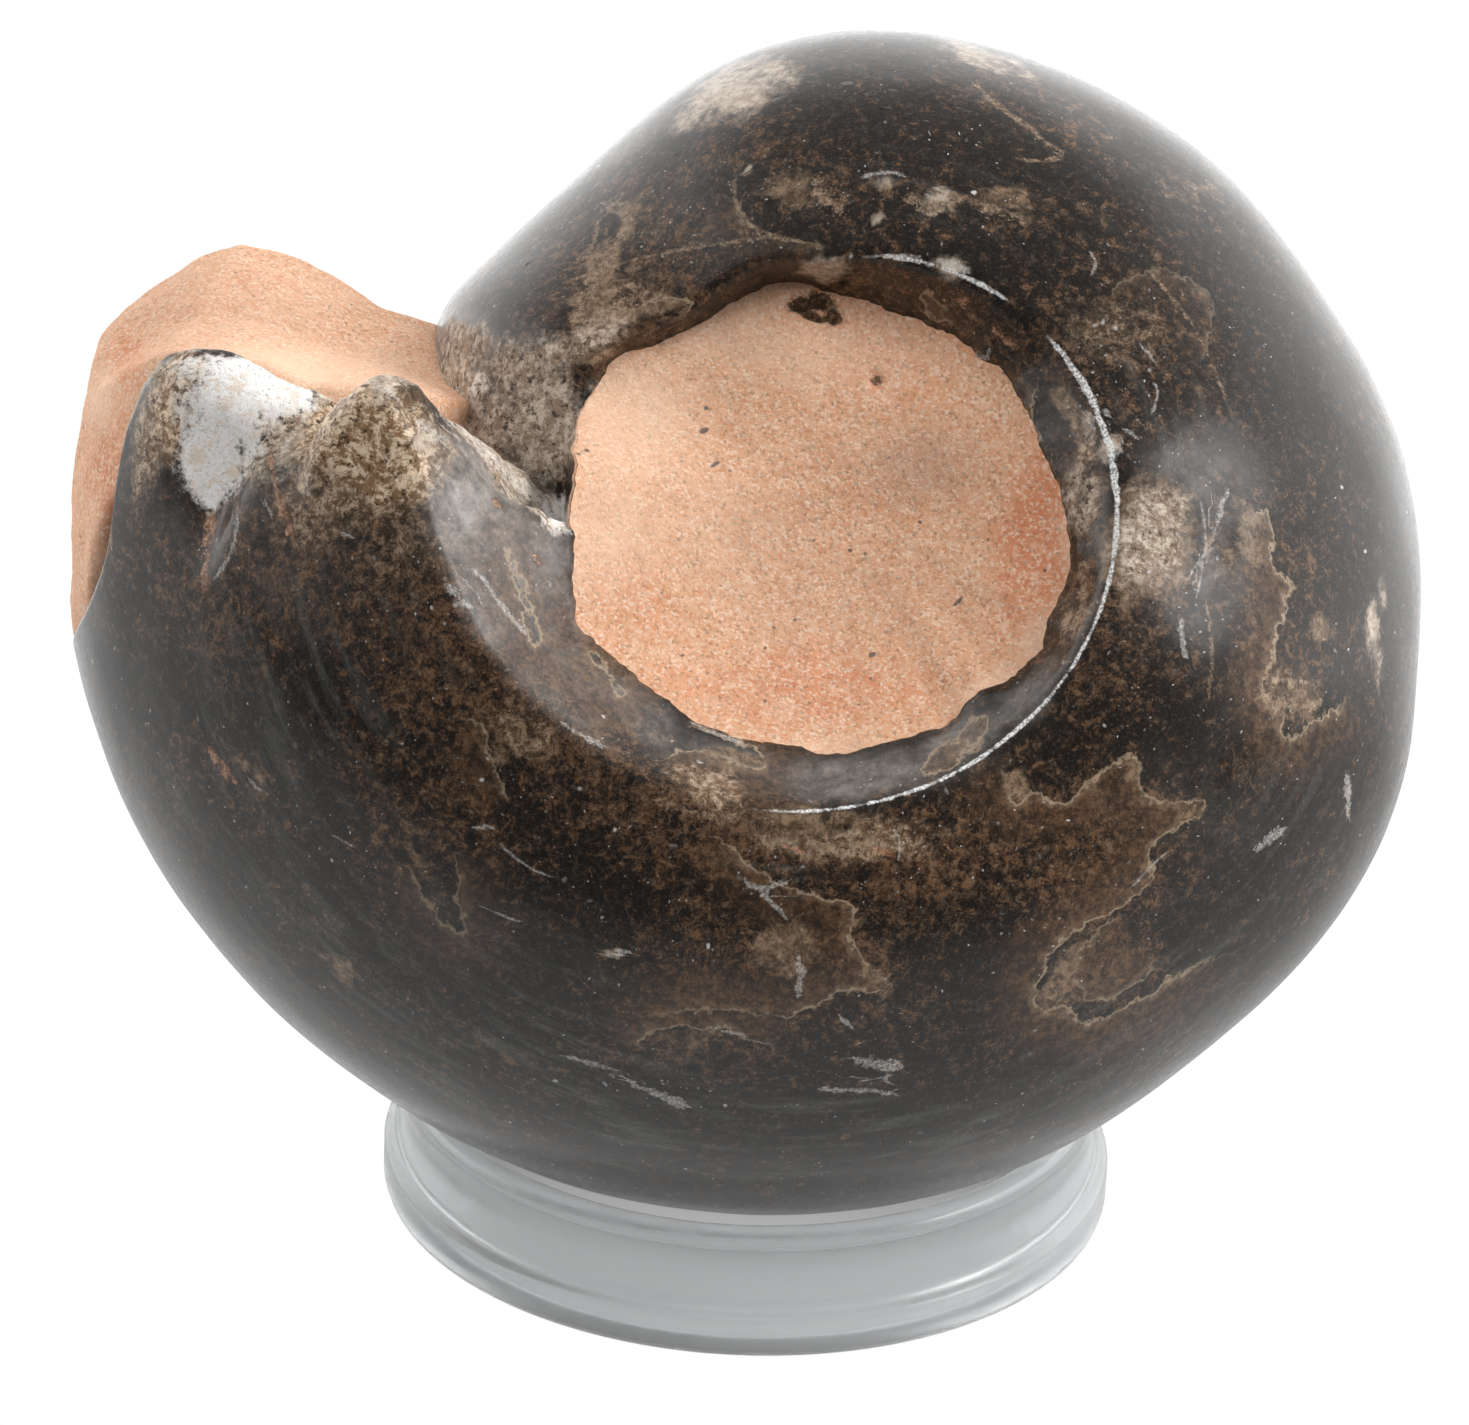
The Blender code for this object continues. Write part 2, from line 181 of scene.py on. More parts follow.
@dataclass(frozen=True)
class Standing:
    """How the coil stands in the ring: where its axis is and how far it leans back."""

    centre: tuple[float, float, float] = (4.01, 3.0, 41.85)
    lean: float = 33.0
    yaw: float = -2.3

    def ring_centre(self) -> Array:
        """The middle of the ring's foot in mm, from the frame."""
        low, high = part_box("ring_stand")
        return np.array([(low.x + high.x) / 2, (low.y + high.y) / 2, low.z]) / MM

    def turned(self) -> Array:
        """The rotation from the coil's own axes to the frame's."""
        return np.array(Matrix.Rotation(math.radians(self.yaw), 3, "Z")
                        @ Matrix.Rotation(math.radians(-self.lean), 3, "X"))

    def origin(self) -> Array:
        """The coil's centre in mm in the frame."""
        return np.array(self.centre) + self.ring_centre()

    def world(self, turn: Array, radius: Array, depth: Array) -> Array:
        """Places round the coil as points of the shared frame.

        Args:
            turn: Degrees round the coil.
            radius: Mm from its axis.
            depth: Mm from its middle plane, away from the viewer.

        Returns:
            Points in mm.
        """
        angle = np.radians(turn)
        local = np.stack([-radius * np.cos(angle), depth + 0 * radius, radius * np.sin(angle)], -1)
        return local @ self.turned().T + self.origin()


@dataclass(frozen=True)
class PlugOutline:
    """The near plug's outline as the photograph shows it, carried back to the coil."""

    points: Points = ((618, 352), (588, 403), (577, 428), (571, 515), (574, 621), (599, 649),
                      (648, 687), (700, 726),
                      (756, 743), (841, 756), (893, 743), (946, 726), (963, 706), (981, 691), (1019, 673),
                      (1044, 649), (1048, 621), (1069, 579), (1069, 522), (1055, 480), (1037, 438),
                      (1016, 389),
                      (1000, 366), (981, 361), (953, 333), (876, 305), (841, 296), (806, 284), (784, 279),
                      (749, 295), (714, 316), (679, 337), (644, 349))
    height: Table = ((30, 15.0), (99, 15.6), (180, 19.2), (270, 21.7), (350, 21.6))
    cuts: int = 6
    nicks: Table = ((0.23, 0.14, 0.0), (0.71, 0.07, 5.0), (1.6, 0.03, 9.0))
    first_depth: float = 18.0
    tries: int = 6

    def turns_and_radii(self) -> tuple[Array, Array]:
        """Carries the outline back from the photograph to the plug's edge on the coil.

        Returns:
            Rising turns round the coil's axis in degrees, and the outline's radii in mm.
        """
        standing, view = Standing(), PhotoView()
        place, right, up, forward = view.axes()
        corners = np.array(self.points, float)
        after = np.roll(corners, -1, axis=0)
        share = np.arange(self.cuts)[:, None, None] / self.cuts
        pixels = (corners * (1 - share) + after * share).reshape(-1, 2)
        across = (pixels[:, 0] - FRAME_WIDTH / 2) / view.focal_pixels
        down = (pixels[:, 1] - FRAME_HEIGHT / 2) / view.focal_pixels
        rays = forward + across[:, None] * right - down[:, None] * up
        start = (place - standing.origin()) @ standing.turned()
        rays = rays @ standing.turned()
        depth = np.full(len(pixels), self.first_depth)
        for _ in range(self.tries):
            at = start + rays * ((-depth - start[1]) / rays[:, 1])[:, None]
            turn = np.mod(np.degrees(np.arctan2(at[:, 2], -at[:, 0])), 360)
            depth = around(self.height, turn)
        order = np.argsort(turn)
        return turn[order], np.hypot(at[:, 0], at[:, 2])[order]

    def radius(self, turn: Array) -> Array:
        """The outline's distance from the axis, with its small uneven nicks.

        Args:
            turn: Degrees round the coil.

        Returns:
            The radius in mm.
        """
        turns, radii = outline_run(self)
        turn = np.mod(np.asarray(turn, float), 360)
        laps = np.concatenate([turns - 360, turns, turns + 360])
        flat = turn.ravel()
        nicks = sum(size * rough(np.stack([flat * rate, 0 * flat + start, 0 * flat], -1), 1.0)
                    for rate, size, start in self.nicks)
        return np.interp(turn, laps, np.tile(radii, 3)) + nicks.reshape(turn.shape)


@lru_cache(maxsize=None)
def outline_run(outline: PlugOutline) -> tuple[Array, Array]:
    """The outline's turns and radii, worked out once."""
    return outline.turns_and_radii()


@dataclass(frozen=True)
class PhotoView:
    """The camera that sees the object as the photograph does, aimed from the middle of the ring's foot."""

    distance: float = 430.0
    elevation: float = 25.62
    roll: float = 2.295
    target: tuple[float, float, float] = (-1.77, 0.0, 31.44)
    focal_pixels: float = 7190.4
    nearest_seen: float = 0.02

    def axes(self) -> tuple[Array, Array, Array, Array]:
        """Where the camera stands and how it is turned.

        Returns:
            Its place in mm, and its right, up and forward directions.
        """
        rise_angle = math.radians(self.elevation)
        back = np.array([0.0, -math.cos(rise_angle), math.sin(rise_angle)])
        place = Standing().ring_centre() + np.array(self.target) + self.distance * back
        right, forward = np.array([1.0, 0.0, 0.0]), -back
        up = np.cross(right, forward)
        turn = math.radians(self.roll)
        rolled_right = math.cos(turn) * right + math.sin(turn) * up
        rolled_up = math.cos(turn) * up - math.sin(turn) * right
        return place, rolled_right, rolled_up, forward

    def pixels(self, points: Array) -> Array:
        """Where points show in the photograph's frame.

        Args:
            points: Points in mm, one in each row.

        Returns:
            Pixels across and down, one pair in each row.
        """
        place, right, up, forward = self.axes()
        seen = points - place
        depth = seen @ forward
        across = FRAME_WIDTH / 2 + self.focal_pixels * (seen @ right) / depth
        down = FRAME_HEIGHT / 2 - self.focal_pixels * (seen @ up) / depth
        return np.stack([across, down], -1)

    def pixels_per_mm(self) -> float:
        """The photograph's scale at the target."""
        return self.focal_pixels / self.distance

    def place_camera(self) -> bpy.types.Object:
        """Makes the camera and hands it to the scene.

        Returns:
            The camera.
        """
        place, right, up, forward = self.axes()
        data = bpy.data.cameras.new("photo_view")
        data.lens = self.focal_pixels * SENSOR / FRAME_WIDTH
        data.sensor_width = SENSOR
        data.clip_start = self.nearest_seen
        camera = bpy.data.objects.new("photo_view", data)
        bpy.context.scene.collection.objects.link(camera)
        turned = Matrix((right, up, -forward)).transposed()
        camera.matrix_world = Matrix.Translation(Vector(place) * MM) @ turned.to_4x4()
        bpy.context.scene.camera = camera
        return camera


@dataclass(frozen=True)
class GrowthLaw:
    """The coil's shape: its section at any angle, on the coil's own axis, in mm."""

    venter_at_left: float = 25.4
    venter_growth: float = 1.853
    venter_facets: Table = ((26, 0.7, 7), (50, -1.1, 16), (86, 0.8, 20), (150, -0.7, 20), (165, 0.2, 10),
                            (190, -0.35, 8), (205, 0.8, 20), (233, -0.4, 14), (330, 0.15, 15),
                            (352, -0.25, 12))
    shoulder_at_top: float = 13.52
    shoulder_angle: float = 99
    shoulder_growth: float = 2.124
    half_width_share: float = 0.625
    flank_angle: float = 80
    shoulder_round: float = 0.9
    shoulder_round_limit: float = 0.45
    round_span: float = 4.0
    least_wall: float = 0.6
    seat_place: float = 110
    seat_radius: Table = ((12, 15.3), (28, 15.1), (46, 13.0), (71, 13.0), (91, 11.8), (128, 10.9),
                          (161, 12.5),
                          (187, 14.4), (203, 15.0), (228, 15.0), (261, 15.7), (296, 15.0), (333, 16.0),
                          (359, 15.0))
    outline: PlugOutline = field(default_factory=PlugOutline)

    def grown(self, turn: Array) -> Array:
        """The rim's distance from the axis before the seats push it out."""
        return self.shoulder_at_top * self.shoulder_growth ** ((turn - self.shoulder_angle) / 360)

    def seat(self, turn: Array, near: Array) -> Array:
        """The radius at which a plug meets the coil.

        Args:
            turn: Degrees round the coil.
            near: True on the near side, and false on the far one.

        Returns:
            The radius in mm.
        """
        far = around(self.seat_radius, turn)
        limit = np.maximum(self.grown(np.mod(turn, 360)) - self.least_wall, far)
        return np.where(near, np.minimum(self.outline.radius(turn), limit), far)

    def seat_depth(self, turn: Array) -> Array:
        """How far from the middle plane a plug meets the coil."""
        return around(self.outline.height, turn)

    def venter_radius(self, turn: Array) -> Array:
        """The outer edge's distance from the axis, with the slight flats of the real one.

        Args:
            turn: Degrees round the coil.

        Returns:
            The distance in mm.
        """
        turn = np.asarray(turn, float)
        facets = sum(h * np.exp(-(((turn - at) / wide) ** 2)) for at, h, wide in self.venter_facets)
        return self.venter_at_left * self.venter_growth ** (turn / 360) + facets

    def shoulder_radius(self, turn: Array) -> Array:
        """The rim of the hollow's distance from the axis."""
        return np.maximum(self.grown(turn), around(self.seat_radius, turn) + self.least_wall)

    def flank_arc(self, turn: Array, place: Array) -> Array:
        """A point of the outline between both shoulders.

        Args:
            turn: Degrees round the coil.
            place: Degrees round the section, up to the flank angle on either side.

        Returns:
            The point as mm from the axis and mm from the middle plane.
        """
        outer = self.venter_radius(turn)
        turned = math.cos(math.radians(self.flank_angle))
        shoulder = self.shoulder_radius(turn)
        middle = (shoulder - outer * turned) / (1 - turned)
        width = self.half_width_share * outer / math.sin(math.radians(self.flank_angle))
        angle = np.radians(place)
        return np.stack([middle + (outer - middle) * np.cos(angle), width * np.sin(angle)], -1)

    def section(self, turn: Array, place: Array) -> Array:
        """The whorl's outline from one plug's seat over the venter to the other's.

        Args:
            turn: Degrees round the coil.
            place: Degrees round the section, from -110 at the near seat to 110 at the far one.

        Returns:
            Points as mm from the axis and mm from the middle plane.
        """
        turn, place = np.broadcast_arrays(np.asarray(turn, float), np.asarray(place, float))
        angle = np.abs(place)
        corner = self.flank_arc(turn, np.full(turn.shape, self.flank_angle))
        seat = np.stack([self.seat(turn, place < 0), self.seat_depth(turn)], -1)
        wall = corner - seat
        length = np.linalg.norm(wall, axis=-1)
        reach = np.minimum(self.shoulder_round, self.shoulder_round_limit * length)
        fall = self.venter_radius(turn) - self.flank_arc(turn, np.full(turn.shape, 90.0))[..., 0]
        flank_start = self.flank_angle - np.degrees(reach / fall)
        flank_end = self.flank_angle - self.round_span
        wall_end = self.flank_angle + self.round_span
        after = corner - wall * (reach / length)[..., None]
        before = self.flank_arc(turn, flank_start)
        flank = self.flank_arc(turn, angle / flank_end * flank_start)
        t = ((angle - flank_end) / (2 * self.round_span))[..., None]
        bend = before * (1 - t) ** 2 + corner * 2 * t * (1 - t) + after * t**2
        t = ((angle - wall_end) / (self.seat_place - wall_end))[..., None]
        down = after * (1 - t) + seat * t
        inner = np.where((angle <= wall_end)[..., None], bend, down)
        point = np.where((angle <= flank_end)[..., None], flank, inner)
        point[..., 1] *= np.copysign(1.0, place)
        return point


@dataclass(frozen=True)
class Spot:
    """A soft-edged patch in the photograph: its middle, half sizes and turn, and how strong it is."""

    x: float
    y: float
    wide: float
    high: float
    angle: float = 0.0
    strength: float = 1.0

    def weight(self, pixels: Array) -> Array:
        """How much of the patch lies at each pixel.

        Args:
            pixels: One pixel in each row.

        Returns:
            A weight from 0 to the patch's strength.
        """
        turn = math.radians(self.angle)
        dx, dy = pixels[:, 0] - self.x, pixels[:, 1] - self.y
        along = (dx * math.cos(turn) + dy * math.sin(turn)) / self.wide
        over = (dy * math.cos(turn) - dx * math.sin(turn)) / self.high
        return self.strength * np.exp(-0.8 * (along**2 + over**2) ** 1.5)


def spots(*rows: tuple[float, ...]) -> tuple[Spot, ...]:
    """Patches from rows of their middle, half sizes, turn and strength."""
    return tuple(Spot(*row) for row in rows)


def patches(pixels: Array, drawn: tuple[Spot, ...]) -> Array:
    """The strongest of several patches at each pixel."""
    return np.max([spot.weight(pixels) for spot in drawn], axis=0)


@dataclass(frozen=True)
class Line:
    """A drawn line in the photograph, such as a suture, with its stone on one side, or a stroke.

    The width is half the stroke's, in pixels.
    """

    points: Points
    closed: bool = False
    strength: float = 1.0
    width: float = 2.0
    steps: int = 4
    reach: float = 84.0

    def curve(self) -> Array:
        """The line as a smooth run of points.

        Returns:
            One pixel in each row.
        """
        points = np.array(self.points, float)
        if self.closed:
            points = np.concatenate([points[-2:], points, points[:3]])
        place = np.arange(len(points), dtype=float)
        at = np.linspace(0, len(points) - 1, (len(points) - 1) * self.steps + 1)
        if self.closed:
            at = at[2 * self.steps:-2 * self.steps]
        return np.stack([hermite(place, points[:, 0], at), hermite(place, points[:, 1], at)], -1)

    def nearest(self, pixels: Array) -> tuple[Array, Array]:
        """How far each pixel is from the line.

        Args:
            pixels: One pixel in each row.

        Returns:
            The distance in pixels, below zero on the line's right-hand side, and how much of the line shows
            at its nearest point. An open line fades out towards its ends.
        """
        run = self.curve()
        signed = np.full(len(pixels), BEYOND)
        shown = np.zeros(len(pixels))
        close = np.all((pixels > run.min(0) - self.reach) & (pixels < run.max(0) + self.reach), axis=1)
        near = pixels[close]
        best, side, fade = np.full(len(near), BEYOND), np.ones(len(near)), np.zeros(len(near))
        for i, (start, end) in enumerate(zip(run[:-1], run[1:])):
            step = end - start
            away = near - start
            t = np.clip(away @ step / max(float(step @ step), 1e-9), 0, 1)
            distance = np.linalg.norm(away - t[:, None] * step, axis=1)
            closer = distance < best
            along = (i + t) / (len(run) - 1)
            best = np.where(closer, distance, best)
            side = np.where(closer, np.where(step[0] * away[:, 1] > step[1] * away[:, 0], -1.0, 1.0), side)
            ends = 1.0 if self.closed else rise(np.minimum(along, 1 - along), 0.0, 0.08)
            fade = np.where(closer, ends, fade)
        signed[close], shown[close] = best * side, fade
        return signed, shown


def strokes(*rows: tuple[float, ...]) -> tuple[Line, ...]:
    """Strokes from rows of a half width and then each point's place across and down."""
    return tuple(Line(tuple(zip(row[1::2], row[2::2])), width=row[0]) for row in rows)


def line_layer(pixels: Array, lines: tuple[Line, ...], scale: float) -> tuple[Array, Array]:
    """The nearest of several suture lines.

    Args:
        pixels: One pixel in each row.
        lines: The lines, which lie well apart.
        scale: Pixels in a mm.

    Returns:
        The signed distance in mm and the line's strength at each pixel.
    """
    distance = np.full(len(pixels), FAR_AWAY)
    strength = np.zeros(len(pixels))
    for line in lines:
        signed, shown = line.nearest(pixels)
        closer = np.abs(signed / scale) < np.abs(distance)
        distance = np.where(closer, signed / scale, distance)
        strength = np.where(closer, shown * line.strength, strength)
    return distance, strength * rise(np.abs(distance), 4.0, 2.5)


def stroke_layer(pixels: Array, lines: tuple[Line, ...], scale: float) -> tuple[Array, Array]:
    """The nearest of several short strokes.

    Args:
        pixels: One pixel in each row.
        lines: The strokes.
        scale: Pixels in a mm.

    Returns:
        The signed distance and the stroke's half width at each pixel, in mm.
    """
    distance = np.full(len(pixels), FAR_AWAY)
    width = np.zeros(len(pixels))
    for line in lines:
        signed, shown = line.nearest(pixels)
        closer = np.abs(signed / scale) - line.width / scale < np.abs(distance) - width
        distance = np.where(closer, signed / scale, distance)
        width = np.where(closer, shown * line.width / scale, width)
    return distance, width * rise(np.abs(distance) - width, 1.1, 0.7)


class Value:
    """A socket of a graph, used in sums and layers as a plain number or colour is."""

    def __init__(self, graph: "Graph", socket: bpy.types.NodeSocket) -> None:
        """Keeps the graph and the socket."""
        self.graph = graph
        self.socket = socket

    def __add__(self, other: object) -> "Value":
        """The sum."""
        return self.graph.math("ADD", self, other)

    def __sub__(self, other: object) -> "Value":
        """The difference."""
        return self.graph.math("SUBTRACT", self, other)

    def __rsub__(self, other: float) -> "Value":
        """A plain number less this one."""
        return self.graph.math("SUBTRACT", other, self)

    def __mul__(self, other: object) -> "Value":
        """The product."""
        return self.graph.math("MULTIPLY", self, other)

    def __abs__(self) -> "Value":
        """The value without its sign."""
        return self.graph.math("ABSOLUTE", self)

    def larger(self, other: object) -> "Value":
        """The larger of two values."""
        return self.graph.math("MAXIMUM", self, other)

    def step(self, low: float, high: float) -> "Value":
        """A soft step from 0 at low to 1 at high."""
        return self.graph.value("ShaderNodeMapRange", {0: self, 1: low, 2: high},
                                interpolation_type="SMOOTHSTEP")

    def spread(self, low: float, high: float, to_low: float, to_high: float) -> "Value":
        """The value carried from one range to another."""
        return self.graph.value("ShaderNodeMapRange", {0: self, 1: low, 2: high, 3: to_low, 4: to_high})

    def painted(self, share: object, tone: object) -> "Value":
        """This colour with a share of another laid over it."""
        return self.graph.mix(share, self, tone)

    def feed(self, socket: bpy.types.NodeSocket) -> None:
        """Links the value to an input."""
        self.graph.tree.links.new(self.socket, socket)


class Graph:
    """A node tree with short calls for the nodes that stone needs."""

    def __init__(self, tree: bpy.types.NodeTree) -> None:
        """Keeps the tree."""
        self.tree = tree

    def node(self, kind: str, inputs: dict[str | int, object] | None = None,
             **settings: object) -> bpy.types.Node:
        """Adds a node.

        Args:
            kind: The node's type name.
            inputs: What each socket gets: a Value, a number, or a colour or vector as plain numbers.
            settings: Its own settings.

        Returns:
            The node.
        """
        made = self.tree.nodes.new(kind)
        for name, setting in settings.items():
            setattr(made, name, setting)
        for key, given in (inputs or {}).items():
            socket = made.inputs[key]
            if isinstance(given, Value):
                given.feed(socket)
            elif socket.type == "RGBA":
                socket.default_value = (*given, 1.0)
            else:
                socket.default_value = given
        return made

    def value(self, kind: str, inputs: dict[str | int, object] | None = None, output: str | int = 0,
              **settings: object) -> Value:
        """One output of a new node.

        Args:
            kind: The node's type name.
            inputs: What each socket gets.
            output: The output's name or number.
            settings: The node's own settings.

        Returns:
            The output.
        """
        return Value(self, self.node(kind, inputs, **settings).outputs[output])

    def parts(self, kind: str, whole: Value) -> tuple[Value, ...]:
        """The three parts of a colour or a vector, by the node that separates them."""
        return tuple(Value(self, part) for part in self.node(kind, {0: whole}).outputs)

    def math(self, operation: str, *numbers: object) -> Value:
        """The result of a Math node."""
        return self.value("ShaderNodeMath", dict(enumerate(numbers)), operation=operation)

    def mix(self, share: object, first: object, second: object) -> Value:
        """A mix of two colours."""
        return self.value("ShaderNodeMix", {0: share, 6: first, 7: second}, 2, data_type="RGBA")

    def place(self) -> Value:
        """The object's own coordinates, in metres."""
        return self.value("ShaderNodeTexCoord", output="Object")

    def attribute(self, name: str, output: str = "Fac") -> Value:
        """A number, or with output Vector a vector, that the mesh carries."""
        return self.value("ShaderNodeAttribute", output=output, attribute_name=name)

    def noise(self, vector: Value, size: float, detail: float, roughness: float) -> Value:
        """Noise whose features are about size mm across, on coordinates in metres."""
        return self.value("ShaderNodeTexNoise", {"Vector": vector, "Scale": 1 / (size * MM), "Detail": detail,
                                                 "Roughness": roughness}, "Fac")

    def cells(self, vector: Value, size: float) -> tuple[Value, tuple[Value, ...]]:
        """The distance from the middle of cells about size mm across, and three random numbers of each cell."""
        made = self.node("ShaderNodeTexVoronoi", {"Vector": vector, "Scale": 1 / (size * MM)})
        return Value(self, made.outputs["Distance"]), self.parts("ShaderNodeSeparateColor",
                                                                 Value(self, made.outputs["Color"]))

    def bumps(self, height: Value, distance: float) -> Value:
        """A normal that stands up to distance mm proud."""
        return self.value("ShaderNodeBump", {"Height": height, "Strength": 0.6, "Distance": distance * MM})


def shared_group(name: str, inputs: dict[str, float | None],
                 outputs: dict[str, str]) -> tuple[Graph, dict[str, Value], bpy.types.Node]:
    """Starts a node group that several materials use.

    Args:
        name: The group's name.
        inputs: Each input's default number, or None for a vector.
        outputs: Each output's socket type.

    Returns:
        Its graph, its inputs by name and its output node.
    """
    tree = bpy.data.node_groups.new(name, "ShaderNodeTree")
    for label, default in inputs.items():
        kind = "NodeSocketVector" if default is None else "NodeSocketFloat"
        socket = tree.interface.new_socket(label, in_out="INPUT", socket_type=kind)
        if default is not None:
            socket.default_value = default
    for label, kind in outputs.items():
        tree.interface.new_socket(label, in_out="OUTPUT", socket_type=kind)
    graph = Graph(tree)
    given = graph.node("NodeGroupInput")
    return graph, {label: Value(graph, given.outputs[label]) for label in inputs}, graph.node("NodeGroupOutput")


@lru_cache(maxsize=None)
def ragged_mask() -> bpy.types.NodeTree:
    """Builds, once, the group that turns a soft patch into one with a broken, uneven edge.

    Returns:
        The group.
    """
    graph, given, result = shared_group(
        "ragged_mask", {"Patch": 0.0, "Grain": 0.5, "Raggedness": 0.6, "Softness": 0.15},
        {"Mask": "NodeSocketFloat"})
    edge = 0.45
    shift = (given["Grain"] - 0.5) * given["Raggedness"]
    level = given["Patch"] + given["Patch"].step(0.02, 0.30) * shift
    level.step(edge - given["Softness"], graph.math("ADD", edge, given["Softness"])).feed(result.inputs["Mask"])
    return graph.tree


@dataclass(frozen=True)
class SandTones:
    """The colours of the sandstone's body, grains and stains."""

    body: Colour = (0.765, 0.430, 0.260)
    red_body: Colour = (0.715, 0.288, 0.152)
    bright: Colour = (0.86, 0.56, 0.38)
    streak: Colour = (0.76, 0.255, 0.115)
    light_grain: Colour = (0.96, 0.79, 0.64)
    red_grain: Colour = (0.60, 0.20, 0.08)
    dark_grain: Colour = (0.30, 0.20, 0.13)
    odd_grain: Colour = (0.13, 0.10, 0.09)
    cream: Colour = (0.98, 0.69, 0.50)
    grey: Colour = (0.40, 0.29, 0.22)
    fleck: Colour = (0.34, 0.21, 0.15)
    grain_size: float = 0.16
    odd_size: float = 0.46


@lru_cache(maxsize=None)
def sand_grains() -> bpy.types.NodeTree:
    """Builds, once, the group for sandstone: grains of mixed colours and their relief.

    Returns:
        The group.
    """
    tones = SandTones()
    graph, given, result = shared_group("sand_grains", {"Place": None, "Red": 0.5, "Cream": 0.0, "Grey": 0.0},
                                        {"Colour": "NodeSocketColor", "Height": "NodeSocketFloat"})
    place = given["Place"]
    away, grain = graph.cells(place, tones.grain_size)
    odd_away, odd_grain = graph.cells(place, tones.odd_size)
    broad = graph.noise(place, 7.0, 3.0, 0.6)
    middling = graph.noise(place, 0.8, 4.0, 0.85)
    reddish = graph.noise(place, 0.42, 4.0, 0.85)
    fine = graph.noise(place, 0.26, 3.0, 0.8)
    warm = given["Red"] + (broad - 0.5) * 0.9
    body = graph.mix(warm.step(0.1, 0.9), tones.body, tones.red_body)
    for share, tone in (
            (middling.step(0.47, 0.60) * 0.60, tones.bright),
            (reddish.step(0.53, 0.66) * warm.spread(0.1, 0.9, 0.30, 0.62), tones.streak),
            (grain[0].step(0.60, 0.95) * 0.50, tones.light_grain),
            (grain[1].step(0.66, 0.97) * 0.45, tones.red_grain),
            (grain[2].step(0.84, 0.98) * 0.50, tones.dark_grain),
            (odd_grain[2].step(0.965, 0.985) * odd_away.step(0.34, 0.12) * 0.75, tones.odd_grain),
            (given["Cream"] * 0.62, tones.cream),
            (given["Grey"] * 0.45, tones.grey),
            (fine.step(0.62, 0.76) * 0.40, tones.fleck)):
        body = body.painted(share, tone)
    body.feed(result.inputs["Colour"])
    (away * -0.25 + fine).feed(result.inputs["Height"])
    return graph.tree


def ragged(graph: Graph, patch: Value, grain: Value, raggedness: float, softness: float) -> Value:
    """A ragged mask from a patch that the mesh carries.

    Args:
        graph: The material's graph.
        patch: The soft patch.
        grain: The noise that breaks its edge.
        raggedness: How far the noise moves the edge.
        softness: How soft the edge is.

    Returns:
        The mask.
    """
    return graph.value("ShaderNodeGroup", {"Patch": patch, "Grain": grain, "Raggedness": raggedness,
                                           "Softness": softness}, "Mask", node_tree=ragged_mask())


def new_material(name: str) -> tuple[bpy.types.Material, Graph, bpy.types.Node]:
    """Starts a material.

    Args:
        name: The material's name.

    Returns:
        The material, its graph and its Principled shader.
    """
    made = bpy.data.materials.new(name)
    made.use_nodes = True
    return made, Graph(made.node_tree), made.node_tree.nodes["Principled BSDF"]


class StoneNoise(NamedTuple):
    """The coordinates and noises that the layers of the stone share."""

    place: Value
    curled: Value
    clump: Value
    fine: Value
    grit: Value
    crisp: Value


